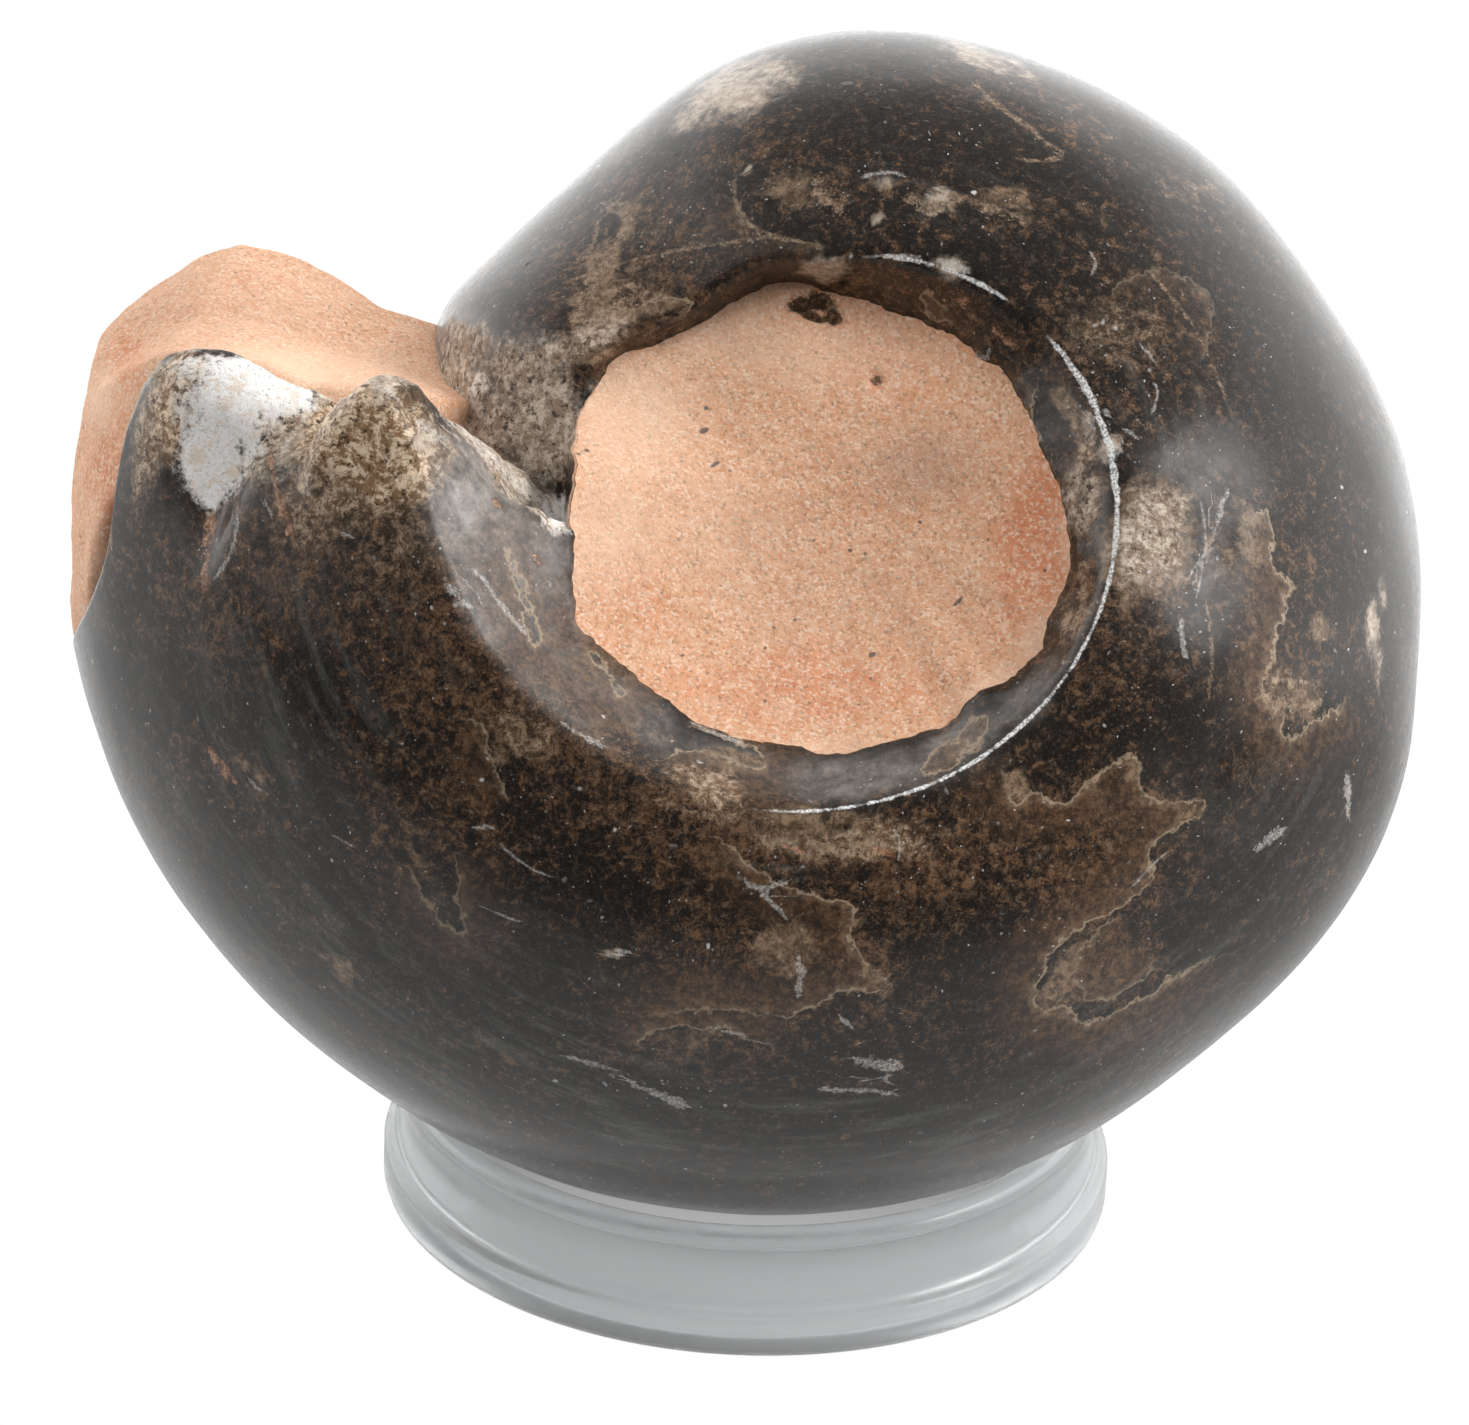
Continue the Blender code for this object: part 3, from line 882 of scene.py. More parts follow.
@dataclass(frozen=True)
class PolishedCalcite:
    """The coil's finish: near-black and brown calcite under a polish, with sutures, patches, specks, and
    painted reflections, glints and shade.
    """

    black: Colour = (0.0120, 0.0092, 0.0070)
    brown: Colour = (0.074, 0.038, 0.020)
    amber: Colour = (0.175, 0.094, 0.047)
    gap: Colour = (0.008, 0.0060, 0.0045)
    vein: Colour = (0.25, 0.18, 0.12)
    pale_grain: Colour = (0.24, 0.17, 0.12)
    deep_grain: Colour = (0.010, 0.007, 0.005)
    # Painted reflection: a grey sheen where the polish grazes the bright surround at the edges.
    veil: Colour = (0.130, 0.136, 0.126)
    # Painted reflection: the pale grey of the key light mirrored in the polish.
    haze: Colour = (0.400, 0.365, 0.335)
    inside: Colour = (0.055, 0.030, 0.017)
    line: Colour = (0.400, 0.300, 0.200)
    tan: Colour = (0.300, 0.205, 0.130)
    dark_tan: Colour = (0.095, 0.058, 0.034)
    cream: Colour = (0.66, 0.55, 0.44)
    dull_cream: Colour = (0.34, 0.25, 0.18)
    crystal: Colour = (0.92, 0.72, 0.52)
    amber_crystal: Colour = (0.300, 0.168, 0.082)
    dark_crystal: Colour = (0.085, 0.045, 0.022)
    dust: Colour = (0.74, 0.64, 0.53)
    dark_dust: Colour = (0.075, 0.052, 0.037)
    speck: Colour = (0.66, 0.65, 0.63)
    tan_stroke: Colour = (0.42, 0.30, 0.20)
    brown_stroke: Colour = (0.120, 0.072, 0.042)
    orange_stroke: Colour = (0.60, 0.34, 0.21)
    rust_stroke: Colour = (0.20, 0.080, 0.036)
    halo: Colour = (0.030, 0.016, 0.009)
    # Partly painted shade: the near-black of real dark marks and of shade in grooves and joints.
    dark_and_shade_stroke: Colour = (0.014, 0.010, 0.008)
    # Partly painted highlight: the white of real white marks and of glints along the shoulders.
    white_and_glint_stroke: Colour = (0.80, 0.77, 0.72)
    # Partly painted highlight: the white of the worn rim and of its glint.
    worn_rim_and_glint: Colour = (0.95, 0.95, 0.94)
    chalk: Colour = (0.97, 0.95, 0.92)
    grey_chalk: Colour = (0.30, 0.26, 0.23)
    dull_chalk: Colour = (0.62, 0.55, 0.48)
    beige_chalk: Colour = (0.78, 0.62, 0.48)
    line_width: float = 0.12
    polish: float = 0.19
    curl_size: float = 1.0
    curl_reach: float = 0.8
    relief: float = 0.25
    ior: float = 1.5

    def noises(self, graph: Graph) -> StoneNoise:
        """The noises that the layers of the stone share.

        Args:
            graph: The material's graph.

        Returns:
            The noises, their place and the curled coordinates.
        """
        place = graph.place()
        bend = graph.value("ShaderNodeTexNoise", {"Vector": place, "Scale": 1 / (self.curl_size * MM),
                                                  "Detail": 1.0}, "Color")
        shift = graph.value("ShaderNodeVectorMath", {0: bend, 1: (0.5, 0.5, 0.5)}, operation="SUBTRACT")
        shift = graph.value("ShaderNodeVectorMath", {0: shift, 1: (self.curl_reach * MM,) * 3},
                            operation="MULTIPLY")
        curled = graph.value("ShaderNodeVectorMath", {0: place, 1: shift}, operation="ADD")
        return StoneNoise(place, curled,
                          graph.noise(curled, 1.5, 5.0, 0.78), graph.noise(place, 0.5, 4.0, 0.75),
                          graph.noise(place, 0.16, 2.0, 0.8), graph.noise(curled, 0.68, 4.0, 0.85))

    def stone(self, graph: Graph, noise: StoneNoise) -> Value:
        """The stone itself: black, brown and amber clumps with paler veins, then a painted grey sheen at the
        grazing edges and a painted pale reflection of the key light.

        Args:
            graph: The material's graph.
            noise: The shared noises.

        Returns:
            The colour.
        """
        broad = graph.noise(noise.place, 7.0, 3.0, 0.65)
        warm = (broad - 0.55) * 1.6 + (noise.clump - 0.5) * 2.2 + (noise.crisp - 0.5) * 3.0
        warm = (warm + graph.attribute("brown")).step(-0.05, 1.05)
        colour = graph.mix(warm, self.black, self.brown)
        colour = colour.painted(noise.crisp.step(0.525, 0.61) * warm.spread(0, 1, 0.08, 0.95), self.amber)
        colour = colour.painted(noise.crisp.step(0.49, 0.425) * 0.88, self.gap)
        for size, share in ((3.2, 0.40), (1.4, 0.30)):
            bend = graph.noise(noise.curled, size, 2.0, 0.6)
            vein = abs(bend - 0.52).step(0.022, 0.002) * noise.fine.step(0.44, 0.62)
            colour = colour.painted(vein * warm.spread(0, 1, share * 0.3, share), self.vein)
        colour = colour.painted(noise.grit.step(0.54, 0.70) * warm.spread(0, 1, 0.14, 0.50), self.pale_grain)
        colour = colour.painted(noise.grit.step(0.48, 0.33) * 0.7, self.deep_grain)
        # Painted reflection: a streaky grey sheen along the edges, where the polish mirrors the surround at a
        # grazing angle.
        streak = graph.noise(graph.attribute("along_whorl", "Vector"), 1.3, 4.0, 0.65)
        veil = streak.step(0.46, 0.72) * graph.attribute("veil")
        colour = colour.painted(veil * noise.fine.spread(0.3, 0.7, 0.20, 0.75), self.veil)
        # Painted reflection: a pale haze where the polished wall and flank mirror the key light.
        haze = graph.attribute("haze") * noise.clump.spread(0.34, 0.64, 0.30, 1.0)
        return colour.painted(haze * noise.fine.spread(0.35, 0.60, 0.70, 1.0), self.haze)

    def sutures(self, graph: Graph, colour: Value, noise: StoneNoise) -> Value:
        """Draws the suture lines and tints the stone inside them.

        Args:
            graph: The material's graph.
            colour: The stone's colour so far.
            noise: The shared noises.

        Returns:
            The new colour.
        """
        coarse, fine = graph.noise(noise.place, 1.6, 3.0, 0.65), noise.fine
        fray = (coarse - 0.5) * 1.7 + (fine - 0.5) * 0.6
        inner = graph.mix(fine.step(0.42, 0.60), self.inside, self.amber)
        for layer in SUTURES:
            distance = graph.attribute(layer) + fray
            strength = graph.attribute(layer + "_shown")
            inside = distance.step(0.05, -0.25) * distance.step(-3.4, -0.6)
            colour = colour.painted(inside * strength * 0.50, inner)
            glow = distance.step(0.05, -0.10) * distance.step(-0.6, -0.1) * coarse.spread(0.4, 0.6, 0.10, 0.42)
            colour = colour.painted(glow * strength, self.tan)
            edge = abs(distance).step(self.line_width, self.line_width * 0.25)
            colour = colour.painted(edge * (strength * fine.spread(0.36, 0.58, 0.35, 0.90)), self.line)
        return colour

    def patches(self, graph: Graph, colour: Value, noise: StoneNoise) -> Value:
        """Lays the crystal, tan, dusty and pale patches over the stone.

        Args:
            graph: The material's graph.
            colour: The stone's colour so far.
            noise: The shared noises.

        Returns:
            The new colour.
        """
        clump, fine, crisp = noise.clump, noise.fine, noise.crisp
        crystal = graph.mix(crisp.step(0.44, 0.60), self.amber_crystal, self.crystal)
        dust = graph.mix(crisp.step(0.42, 0.62), self.dull_cream, self.dust)
        layers = (
            ("crystal", clump, 0.9, 0.38, 0.92, graph.mix(fine.step(0.47, 0.37), crystal, self.dark_crystal)),
            ("tan", clump, 1.7, 0.24, 0.85, graph.mix(crisp.step(0.38, 0.62), self.dark_tan, self.tan)),
            ("dusty", fine, 1.3, 0.34, 0.92, graph.mix(fine.step(0.46, 0.36), dust, self.dark_dust)),
            ("pale", clump, 1.8, 0.36, 0.85, graph.mix(fine.step(0.35, 0.62), self.dull_cream, self.cream)))
        for name, grain, raggedness, softness, share, tone in layers:
            mask = ragged(graph, graph.attribute(name), grain, raggedness, softness)
            colour = colour.painted(mask * share, tone)
        return colour

    def specks(self, graph: Graph, colour: Value, noise: StoneNoise) -> Value:
        """Scatters white specks.

        Args:
            graph: The material's graph.
            colour: The stone's colour so far.
            noise: The shared noises.

        Returns:
            The new colour.
        """
        for size, share in ((0.20, 0.012), (0.42, 0.004)):
            away, (first, second, _) = graph.cells(noise.curled, size)
            density = (graph.attribute("specks") + 0.12) * (share * 9)
            chosen = graph.math("GREATER_THAN", density, first)
            level = graph.math("POWER", second, 2.2).spread(0, 1, 0.10, 0.90)
            colour = colour.painted(away.step(0.45, 0.15) * chosen * level, self.speck)
        return colour

    def stroke(self, graph: Graph, layer: str, noise: StoneNoise, grow: float = 0.0) -> Value:
        """A mask of the short strokes of one layer, frayed and broken by noise.

        Args:
            graph: The material's graph.
            layer: The attribute's name.
            noise: The shared noises.
            grow: How much wider than the strokes the mask is, in mm.

        Returns:
            The mask.
        """
        width = graph.attribute(layer + "_width")
        away = abs(graph.attribute(layer) + (noise.fine - 0.5) * (width * 3.6))
        reach = width * noise.clump.spread(0.40, 0.58, 0.25, 1.15)
        level = (reach + grow - away).step(-0.07, 0.06)
        return level * width.step(0.02, 0.05) * noise.grit.spread(0.44, 0.60, 0.30, 1.0)

    def strokes(self, graph: Graph, colour: Value, noise: StoneNoise) -> Value:
        """Draws the tan and orange strokes, the dark strokes, partly painted shade in grooves and joints, and
        the white strokes, partly painted glints.

        Args:
            graph: The material's graph.
            colour: The stone's colour so far.
            noise: The shared noises.

        Returns:
            The new colour.
        """
        tan = graph.mix(noise.fine.step(0.40, 0.58), self.brown_stroke, self.tan_stroke)
        orange = graph.mix(noise.fine.step(0.42, 0.60), self.rust_stroke, self.orange_stroke)
        for layer, grow, share, tone in (
                ("stroke_tan", 0.0, 0.85, tan), ("stroke_orange", 0.10, 0.8, self.halo),
                ("stroke_orange", -0.04, 1.0, orange), ("stroke_dark", 0.0, 0.75, self.dark_and_shade_stroke),
                ("stroke_white", 0.0, 0.50, self.white_and_glint_stroke)):
            colour = colour.painted(self.stroke(graph, layer, noise, grow) * share, tone)
        return colour

    def rim(self, graph: Graph, colour: Value, noise: StoneNoise) -> Value:
        """Brightens the rim of the hollow: its worn white edge, with a painted highlight where the edge glints.

        Args:
            graph: The material's graph.
            colour: The stone's colour so far.
            noise: The shared noises.

        Returns:
            The new colour.
        """
        width = graph.attribute("rim_wear_and_glint") * noise.clump.spread(0.38, 0.60, 0.02, 0.14)
        rim = (width - abs(graph.attribute("rim"))).step(-0.05, 0.03)
        sparkle = rim * noise.grit.spread(0.42, 0.56, 0.30, 1.0)
        return colour.painted(sparkle * width.step(0.01, 0.06), self.worn_rim_and_glint)

    def build(self) -> bpy.types.Material:
        """Makes the material."""
        made, graph, shader = new_material("polished_calcite_looks")
        noise = self.noises(graph)
        fine, grit = noise.fine, noise.grit
        colour = self.stone(graph, noise)
        for layer in (self.sutures, self.patches, self.specks, self.strokes, self.rim):
            colour = layer(graph, colour, noise)
        chalk_tone = graph.mix(grit.step(0.60, 0.70), self.chalk, self.grey_chalk)
        chalk_tone = chalk_tone.painted(fine.step(0.48, 0.60) * 0.28, self.dull_chalk)
        chalk_tone = chalk_tone.painted(noise.clump.step(0.49, 0.60) * 0.65, self.beige_chalk)
        chalk = ragged(graph, graph.attribute("chalk"), fine, 1.7, 0.26)
        colour.painted(chalk, chalk_tone).feed(shader.inputs["Base Color"])

        dull = chalk.larger(graph.attribute("dusty").step(0.2, 0.6)).larger(graph.attribute("broken"))
        gloss = fine.spread(0.3, 0.7, self.polish - 0.05, self.polish + 0.10)
        (gloss + dull * 0.55).feed(shader.inputs["Roughness"])
        graph.bumps(fine * dull.spread(0, 1, 0.10, 1.0), self.relief).feed(shader.inputs["Normal"])
        shader.inputs["IOR"].default_value = self.ior
        return made


@dataclass(frozen=True)
class OrangeSandstone:
    """The matt sandstone of the plugs and the last chamber."""

    pit: Colour = (0.060, 0.032, 0.018)
    pit_edge: Colour = (0.30, 0.19, 0.11)
    mark: Colour = (0.06, 0.06, 0.065)
    relief: float = 0.12
    specular: float = 0.3

    def build(self) -> bpy.types.Material:
        """Makes the material."""
        made, graph, shader = new_material("orange_sandstone_looks")
        place = graph.place()
        fine = graph.noise(place, 0.45, 5.0, 0.8)
        inputs = {label: graph.attribute(label.lower()) for label in ("Red", "Cream", "Grey")}
        sand = graph.node("ShaderNodeGroup", {"Place": place, **inputs}, node_tree=sand_grains())
        colour = Value(graph, sand.outputs["Colour"])
        pit = ragged(graph, graph.attribute("pit"), fine, 2.2, 0.15)
        colour = colour.painted(pit, graph.mix(fine.step(0.45, 0.65), self.pit, self.pit_edge))
        marks = graph.attribute("marks").step(0.35, 0.6) * 0.8
        colour.painted(marks, self.mark).feed(shader.inputs["Base Color"])
        height = Value(graph, sand.outputs["Height"])
        graph.bumps(height, self.relief).feed(shader.inputs["Normal"])
        fine.spread(0.3, 0.7, 0.78, 0.95).feed(shader.inputs["Roughness"])
        shader.inputs["Specular IOR Level"].default_value = self.specular
        return made


@dataclass(frozen=True)
class ClearAcrylic:
    """The ring's moulded clear plastic, slightly frosted."""

    tint: Colour = (0.84, 0.86, 0.87)
    clearness: float = 0.84
    frost: tuple[float, float] = (0.18, 0.27)
    ior: float = 1.49

    def build(self) -> bpy.types.Material:
        """Makes the material."""
        made, graph, shader = new_material("clear_acrylic_looks")
        cloud = graph.noise(graph.place(), 2.0, 2.0, 0.7)
        cloud.spread(0.3, 0.7, *self.frost).feed(shader.inputs["Roughness"])
        shader.inputs["Base Color"].default_value = (*self.tint, 1.0)
        shader.inputs["Transmission Weight"].default_value = self.clearness
        shader.inputs["IOR"].default_value = self.ior
        return made


def sphere_piece(name: str, columns: int, rows: int, material: bpy.types.Material) -> bpy.types.Object:
    """Adds the sphere that a stone is shaped from.

    Args:
        name: The piece's name.
        columns: Vertices round it.
        rows: Bands from pole to pole.
        material: Its finish.

    Returns:
        The new object, selected alone.
    """
    bpy.ops.object.select_all(action="DESELECT")
    bpy.ops.mesh.primitive_uv_sphere_add(segments=columns, ring_count=rows, radius=1.0)
    made = bpy.context.active_object
    made.name = name
    made.data.name = name
    made.data.materials.append(material)
    return made


def grid_places(piece: bpy.types.Object, columns: int, rows: int) -> tuple[Array, Array]:
    """Which column and row of its sphere each vertex belongs to.

    Args:
        piece: The sphere, as it was added.
        columns: Its vertices round.
        rows: Its bands.

    Returns:
        Each vertex's column, and its row from the upper pole down.
    """
    co = read_points(piece.data) * MM
    row = np.rint(np.arccos(np.clip(co[:, 2], -1, 1)) / np.pi * rows).astype(int)
    turned = np.rint(np.arctan2(co[:, 1], co[:, 0]) / (2 * np.pi) * columns).astype(int)
    return turned % columns, row


def read_points(mesh: bpy.types.Mesh) -> Array:
    """The mesh's vertices.

    Args:
        mesh: The mesh.

    Returns:
        Points in mm, one in each row.
    """
    co = np.empty(len(mesh.vertices) * 3, np.float32)
    mesh.vertices.foreach_get("co", co)
    return co.reshape(-1, 3).astype(float) / MM


def read_normals(mesh: bpy.types.Mesh) -> Array:
    """The mesh's vertex normals.

    Args:
        mesh: The mesh.

    Returns:
        Unit vectors, one in each row.
    """
    normals = np.empty(len(mesh.vertices) * 3, np.float32)
    mesh.vertices.foreach_get("normal", normals)
    return normals.reshape(-1, 3).astype(float)


def write_points(mesh: bpy.types.Mesh, points: Array) -> None:
    """Moves the mesh's vertices, and turns its faces outwards.

    Args:
        mesh: The mesh.
        points: Their new places in mm.
    """
    mesh.vertices.foreach_set("co", (points * MM).astype(np.float32).ravel())
    mesh.update()
    if volume(mesh) < 0:
        mesh.flip_normals()
        mesh.update()


def store(mesh: bpy.types.Mesh, name: str, values: Array) -> None:
    """Keeps a number for each vertex, under a name that the materials read."""
    layer = mesh.attributes.new(name, "FLOAT", "POINT")
    layer.data.foreach_set("value", np.asarray(values, np.float32))


def store_vector(mesh: bpy.types.Mesh, name: str, values: Array) -> None:
    """Keeps a vector for each vertex, under a name that the materials read."""
    layer = mesh.attributes.new(name, "FLOAT_VECTOR", "POINT")
    layer.data.foreach_set("vector", np.asarray(values, np.float32).ravel())


def held(points: Array, gap: float = 0.02, soft: float = 4.0, least_band: float = 0.2) -> Array:
    """Presses what reaches past the part's box back inside it.

    Args:
        points: Points in mm.
        gap: How far inside the box they stay, in mm.
        soft: How many times what reaches past the box the pressed band is wide.
        least_band: What the band is wide besides that, in mm.

    Returns:
        The points, in mm.
    """
    kept = points.copy()
    for axis in range(3):
        for side, limit in ((1, cad_high[axis] / MM), (-1, -cad_low[axis] / MM)):
            value = side * kept[:, axis]
            over = value.max() - limit + gap
            if over > gap:
                band = soft * over + least_band
                start = limit - band
                value = np.where(value > start, start + (value - start) * band / (band + over), value)
                kept[:, axis] = side * value
    return kept


def finish_piece(piece: bpy.types.Object, node: str) -> None:
    """Declares a finished piece to the frame.

    Args:
        piece: The piece, with its place in its mesh.
        node: The CAD node that it stands for.
    """
    write_points(piece.data, held(read_points(piece.data)))
    piece.data.shade_smooth()
    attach(piece, "root")
    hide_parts(node)
    log.info("%s: %d faces", piece.name, len(piece.data.polygons))


@dataclass(frozen=True)
class CoilMarks:
    """Where the coil's markings, with its painted reflections, sheen, glints and shade, lie in the photograph.
    """

    suture_one: tuple[Line, ...] = (
        Line(((1013, 752), (1003, 772), (1013, 799), (1041, 793), (1062, 801), (1093, 779), (1111, 767),
              (1137, 757), (1139, 784), (1147, 798), (1168, 799), (1203, 806), (1185, 824), (1154, 845),
              (1150, 860), (1154, 877), (1136, 894), (1111, 909), (1084, 926), (1062, 943), (1044, 964),
              (1036, 992), (1041, 1010), (1069, 1007), (1081, 1023), (1111, 1015), (1139, 1001), (1170, 977),
              (1210, 958), (1250, 945))),
        Line(((705, 836), (732, 847), (753, 864), (780, 885), (801, 892), (822, 897), (856, 906), (847, 928),
              (863, 957), (891, 988), (870, 993), (829, 993), (812, 1006), (784, 1016), (732, 1012),
              (680, 1009), (632, 1019))),
        Line(((1242, 524), (1258, 512), (1271, 514), (1271, 548), (1273, 568), (1290, 584), (1283, 614),
              (1273, 650), (1268, 675), (1270, 701), (1283, 711), (1283, 729), (1293, 740), (1309, 724),
              (1332, 713), (1350, 695))),
        Line(((464, 719), (480, 728), (486, 754), (496, 773), (510, 800)), strength=0.7),
        Line(((403, 866), (426, 898), (438, 917), (467, 936), (458, 901), (458, 850)), strength=0.55),
    )
    suture_two: tuple[Line, ...] = (
        Line(((1160, 955), (1142, 978), (1125, 992), (1105, 1000), (1087, 999), (1076, 988), (1074, 972),
              (1080, 952), (1095, 932), (1125, 913)), strength=0.7),
        Line(((773, 1047), (748, 1036), (725, 1031), (698, 1028), (680, 1026), (649, 1033),
              (636, 1047)), strength=0.8),
        Line(((503, 541), (507, 560), (514, 580), (520, 602), (524, 625), (534, 643), (543, 642), (540, 622),
              (532, 603), (524, 585), (516, 566), (509, 548)), closed=True),
        Line(((592, 655), (601, 671), (614, 691), (624, 692), (617, 675), (605, 660)), closed=True),
        Line(((664, 757), (682, 751), (705, 752), (730, 759), (757, 769), (769, 758), (750, 746), (728, 738),
              (705, 731), (688, 728))),
        Line(((921, 770), (928, 756), (946, 744), (981, 716), (986, 733), (960, 758),
              (940, 772)), closed=True),
        Line(((569, 312), (586, 313), (601, 300), (607, 325), (630, 313), (658, 297), (683, 298), (689, 306),
              (676, 314)), strength=0.9),
        Line(((951, 327), (936, 316), (923, 301), (920, 291), (928, 288), (937, 300),
              (947, 312)), strength=0.8),
        Line(((1038, 388), (1031, 406), (1036, 428), (1043, 440)), strength=0.9),
        Line(((740, 200), (743, 219), (760, 234), (790, 243), (825, 246)), strength=0.6),
        Line(((1113, 300), (1122, 278), (1155, 271), (1190, 282), (1209, 301), (1213, 330),
              (1200, 362)), strength=0.35),
    )
    brown: tuple[Spot, ...] = spots((300, 560, 130, 100, 0, 0.7), (440, 640, 150, 90, 30, 0.85),
        (560, 735, 110, 50, 35, 1), (720, 835, 170, 50, 14, 1), (900, 862, 150, 60, 5, 0.8),
        (1080, 850, 90, 90, -20, 0.8), (1100, 975, 60, 36, -20, 0.8), (780, 1000, 150, 50, 0, 0.5),
        (730, 945, 80, 40, 10, 0.75), (850, 955, 40, 36, 40, 0.85), (700, 1050, 80, 28, 5, 0.6),
        (640, 270, 120, 80, -40, 0.8), (720, 150, 90, 50, -30, 0.45), (930, 205, 150, 50, 15, 0.35),
        (1120, 340, 90, 90, 30, 0.42), (1110, 620, 80, 80, 0, 0.75), (1250, 600, 50, 110, 0, 0.55),
        (1290, 680, 40, 60, 0, 0.7), (930, 310, 110, 40, 25, 0.75), (1080, 480, 22, 90, 10, 0.8),
        (560, 690, 60, 60, 0, 0.8), (190, 400, 24, 50, 10, 0.8), (1040, 120, 80, 30, 20, 0.45),
        (560, 400, 60, 40, -25, 0.8), (420, 800, 120, 80, 30, 0.42), (240, 780, 60, 40, 40, 0.3))
    tan: tuple[Spot, ...] = spots((1150, 540, 46, 58, 12, 1), (1052, 985, 13, 40, 25, 0.85),
        (1018, 785, 18, 16, 0, 0.7), (1138, 768, 12, 12, 0, 0.7), (1180, 808, 26, 10, -10, 0.8),
        (785, 950, 34, 24, 30, 0.75), (852, 914, 16, 9, -20, 0.7), (872, 978, 18, 11, 35, 0.8),
        (605, 280, 15, 44, 18, 0.95), (592, 312, 28, 11, 10, 0.95), (628, 218, 14, 26, 20, 0.75),
        (655, 305, 34, 8, -10, 0.8), (575, 358, 34, 9, -12, 0.85), (1066, 405, 14, 19, 0, 1),
        (800, 195, 44, 26, 20, 0.6), (1319, 624, 11, 11, 0, 0.9), (1233, 556, 9, 8, 0, 0.9),
        (1298, 712, 22, 18, 0, 0.75), (560, 450, 16, 24, 0, 0.7), (1005, 205, 44, 18, 10, 0.55),
        (245, 765, 36, 10, 55, 0.55), (340, 975, 34, 14, 55, 0.55), (1255, 540, 14, 34, -10, 0.7),
        (735, 762, 40, 10, 14, 0.75), (820, 820, 80, 14, -4, 0.6), (800, 845, 40, 12, 20, 0.65),
        (500, 760, 10, 16, 0, 0.6), (830, 845, 60, 10, -6, 0.5), (1060, 990, 40, 16, 0, 0.5),
        (1200, 200, 60, 30, 40, 0.35), (1330, 340, 20, 30, 30, 0.3), (700, 1045, 50, 14, 0, 0.4),
        (460, 680, 40, 20, 40, 0.35), (1348, 800, 7, 24, 10, 0.6), (430, 870, 20, 60, -25, 0.35))
    pale: tuple[Spot, ...] = spots((735, 92, 60, 22, -24, 0.8), (1376, 632, 10, 50, -3, 0.62),
        (935, 204, 24, 20, -20, 0.55), (828, 268, 26, 11, -8, 1.05), (950, 268, 24, 8, 8, 0.8),
        (884, 184, 14, 10, 0, 0.35), (877, 226, 7, 6, 0, 0.8), (990, 60, 60, 10, 18, 0.5),
        (425, 440, 15, 9, 30, 1.05), (365, 386, 34, 12, 3, 0.7), (620, 952, 7, 5, 0, 0.8),
        (795, 847, 16, 6, 10, 0.6), (1110, 456, 7, 11, 0, 1), (1090, 422, 6, 12, -10, 0.8),
        (750, 168, 5, 9, 20, 0.7), (1214, 545, 5, 16, 15, 0.7), (328, 392, 22, 6, -45, 0.8),
        (300, 430, 16, 4, -55, 0.7))
    crystal: tuple[Spot, ...] = spots((350, 430, 66, 46, -8, 1), (385, 455, 56, 60, 30, 0.8),
        (178, 400, 20, 56, 4, 1), (190, 370, 26, 14, 0, 0.8), (320, 500, 60, 50, 0, 0.42),
        (400, 540, 50, 50, 0, 0.25), (152, 440, 22, 70, 12, 0.55), (570, 350, 60, 18, -20, 0.4),
        (620, 300, 60, 26, -40, 0.3), (850, 845, 90, 18, -4, 0.45), (700, 790, 60, 18, 25, 0.38),
        (520, 735, 40, 26, 30, 0.35), (1110, 330, 60, 40, 0, 0.25), (1290, 690, 36, 26, 0, 0.35),
        (1085, 440, 14, 50, -20, 0.45), (1070, 620, 16, 30, 25, 0.35))
    dusty: tuple[Spot, ...] = spots((525, 375, 44, 36, -30, 0.6), (455, 385, 26, 44, -35, 0.95),
        (465, 345, 34, 24, 0, 0.6), (548, 430, 32, 54, 0, 0.95), (365, 384, 38, 9, 5, 1.2),
        (592, 335, 40, 16, -25, 0.45), (500, 430, 40, 30, 20, 0.7), (520, 485, 56, 12, 40, 1),
        (475, 440, 46, 9, 48, 1), (260, 430, 40, 60, 30, 0.7), (1080, 500, 14, 34, 8, 0.9),
        (160, 372, 18, 14, -40, 0.6), (1150, 535, 34, 50, 12, 0.62))
    # Painted reflection: the pale haze where the polish mirrors the key light.
    haze: tuple[Spot, ...] = spots((478, 505, 48, 74, -20, 1.15), (530, 560, 40, 54, -35, 0.75),
        (560, 630, 30, 40, -40, 0.7), (620, 700, 70, 22, 38, 0.5), (740, 765, 80, 18, 12, 0.5),
        (860, 777, 90, 20, -3, 0.62), (960, 745, 60, 18, -30, 0.65), (1030, 695, 40, 12, -50, 0.5),
        (1190, 470, 48, 36, 0, 0.38), (1215, 560, 18, 70, 12, 0.4), (490, 610, 24, 40, -40, 0.6),
        (455, 345, 46, 40, 10, 0.6), (560, 700, 20, 60, -50, 0.3), (1180, 800, 70, 50, 0, 0.12),
        (600, 130, 60, 40, -40, 0.25))
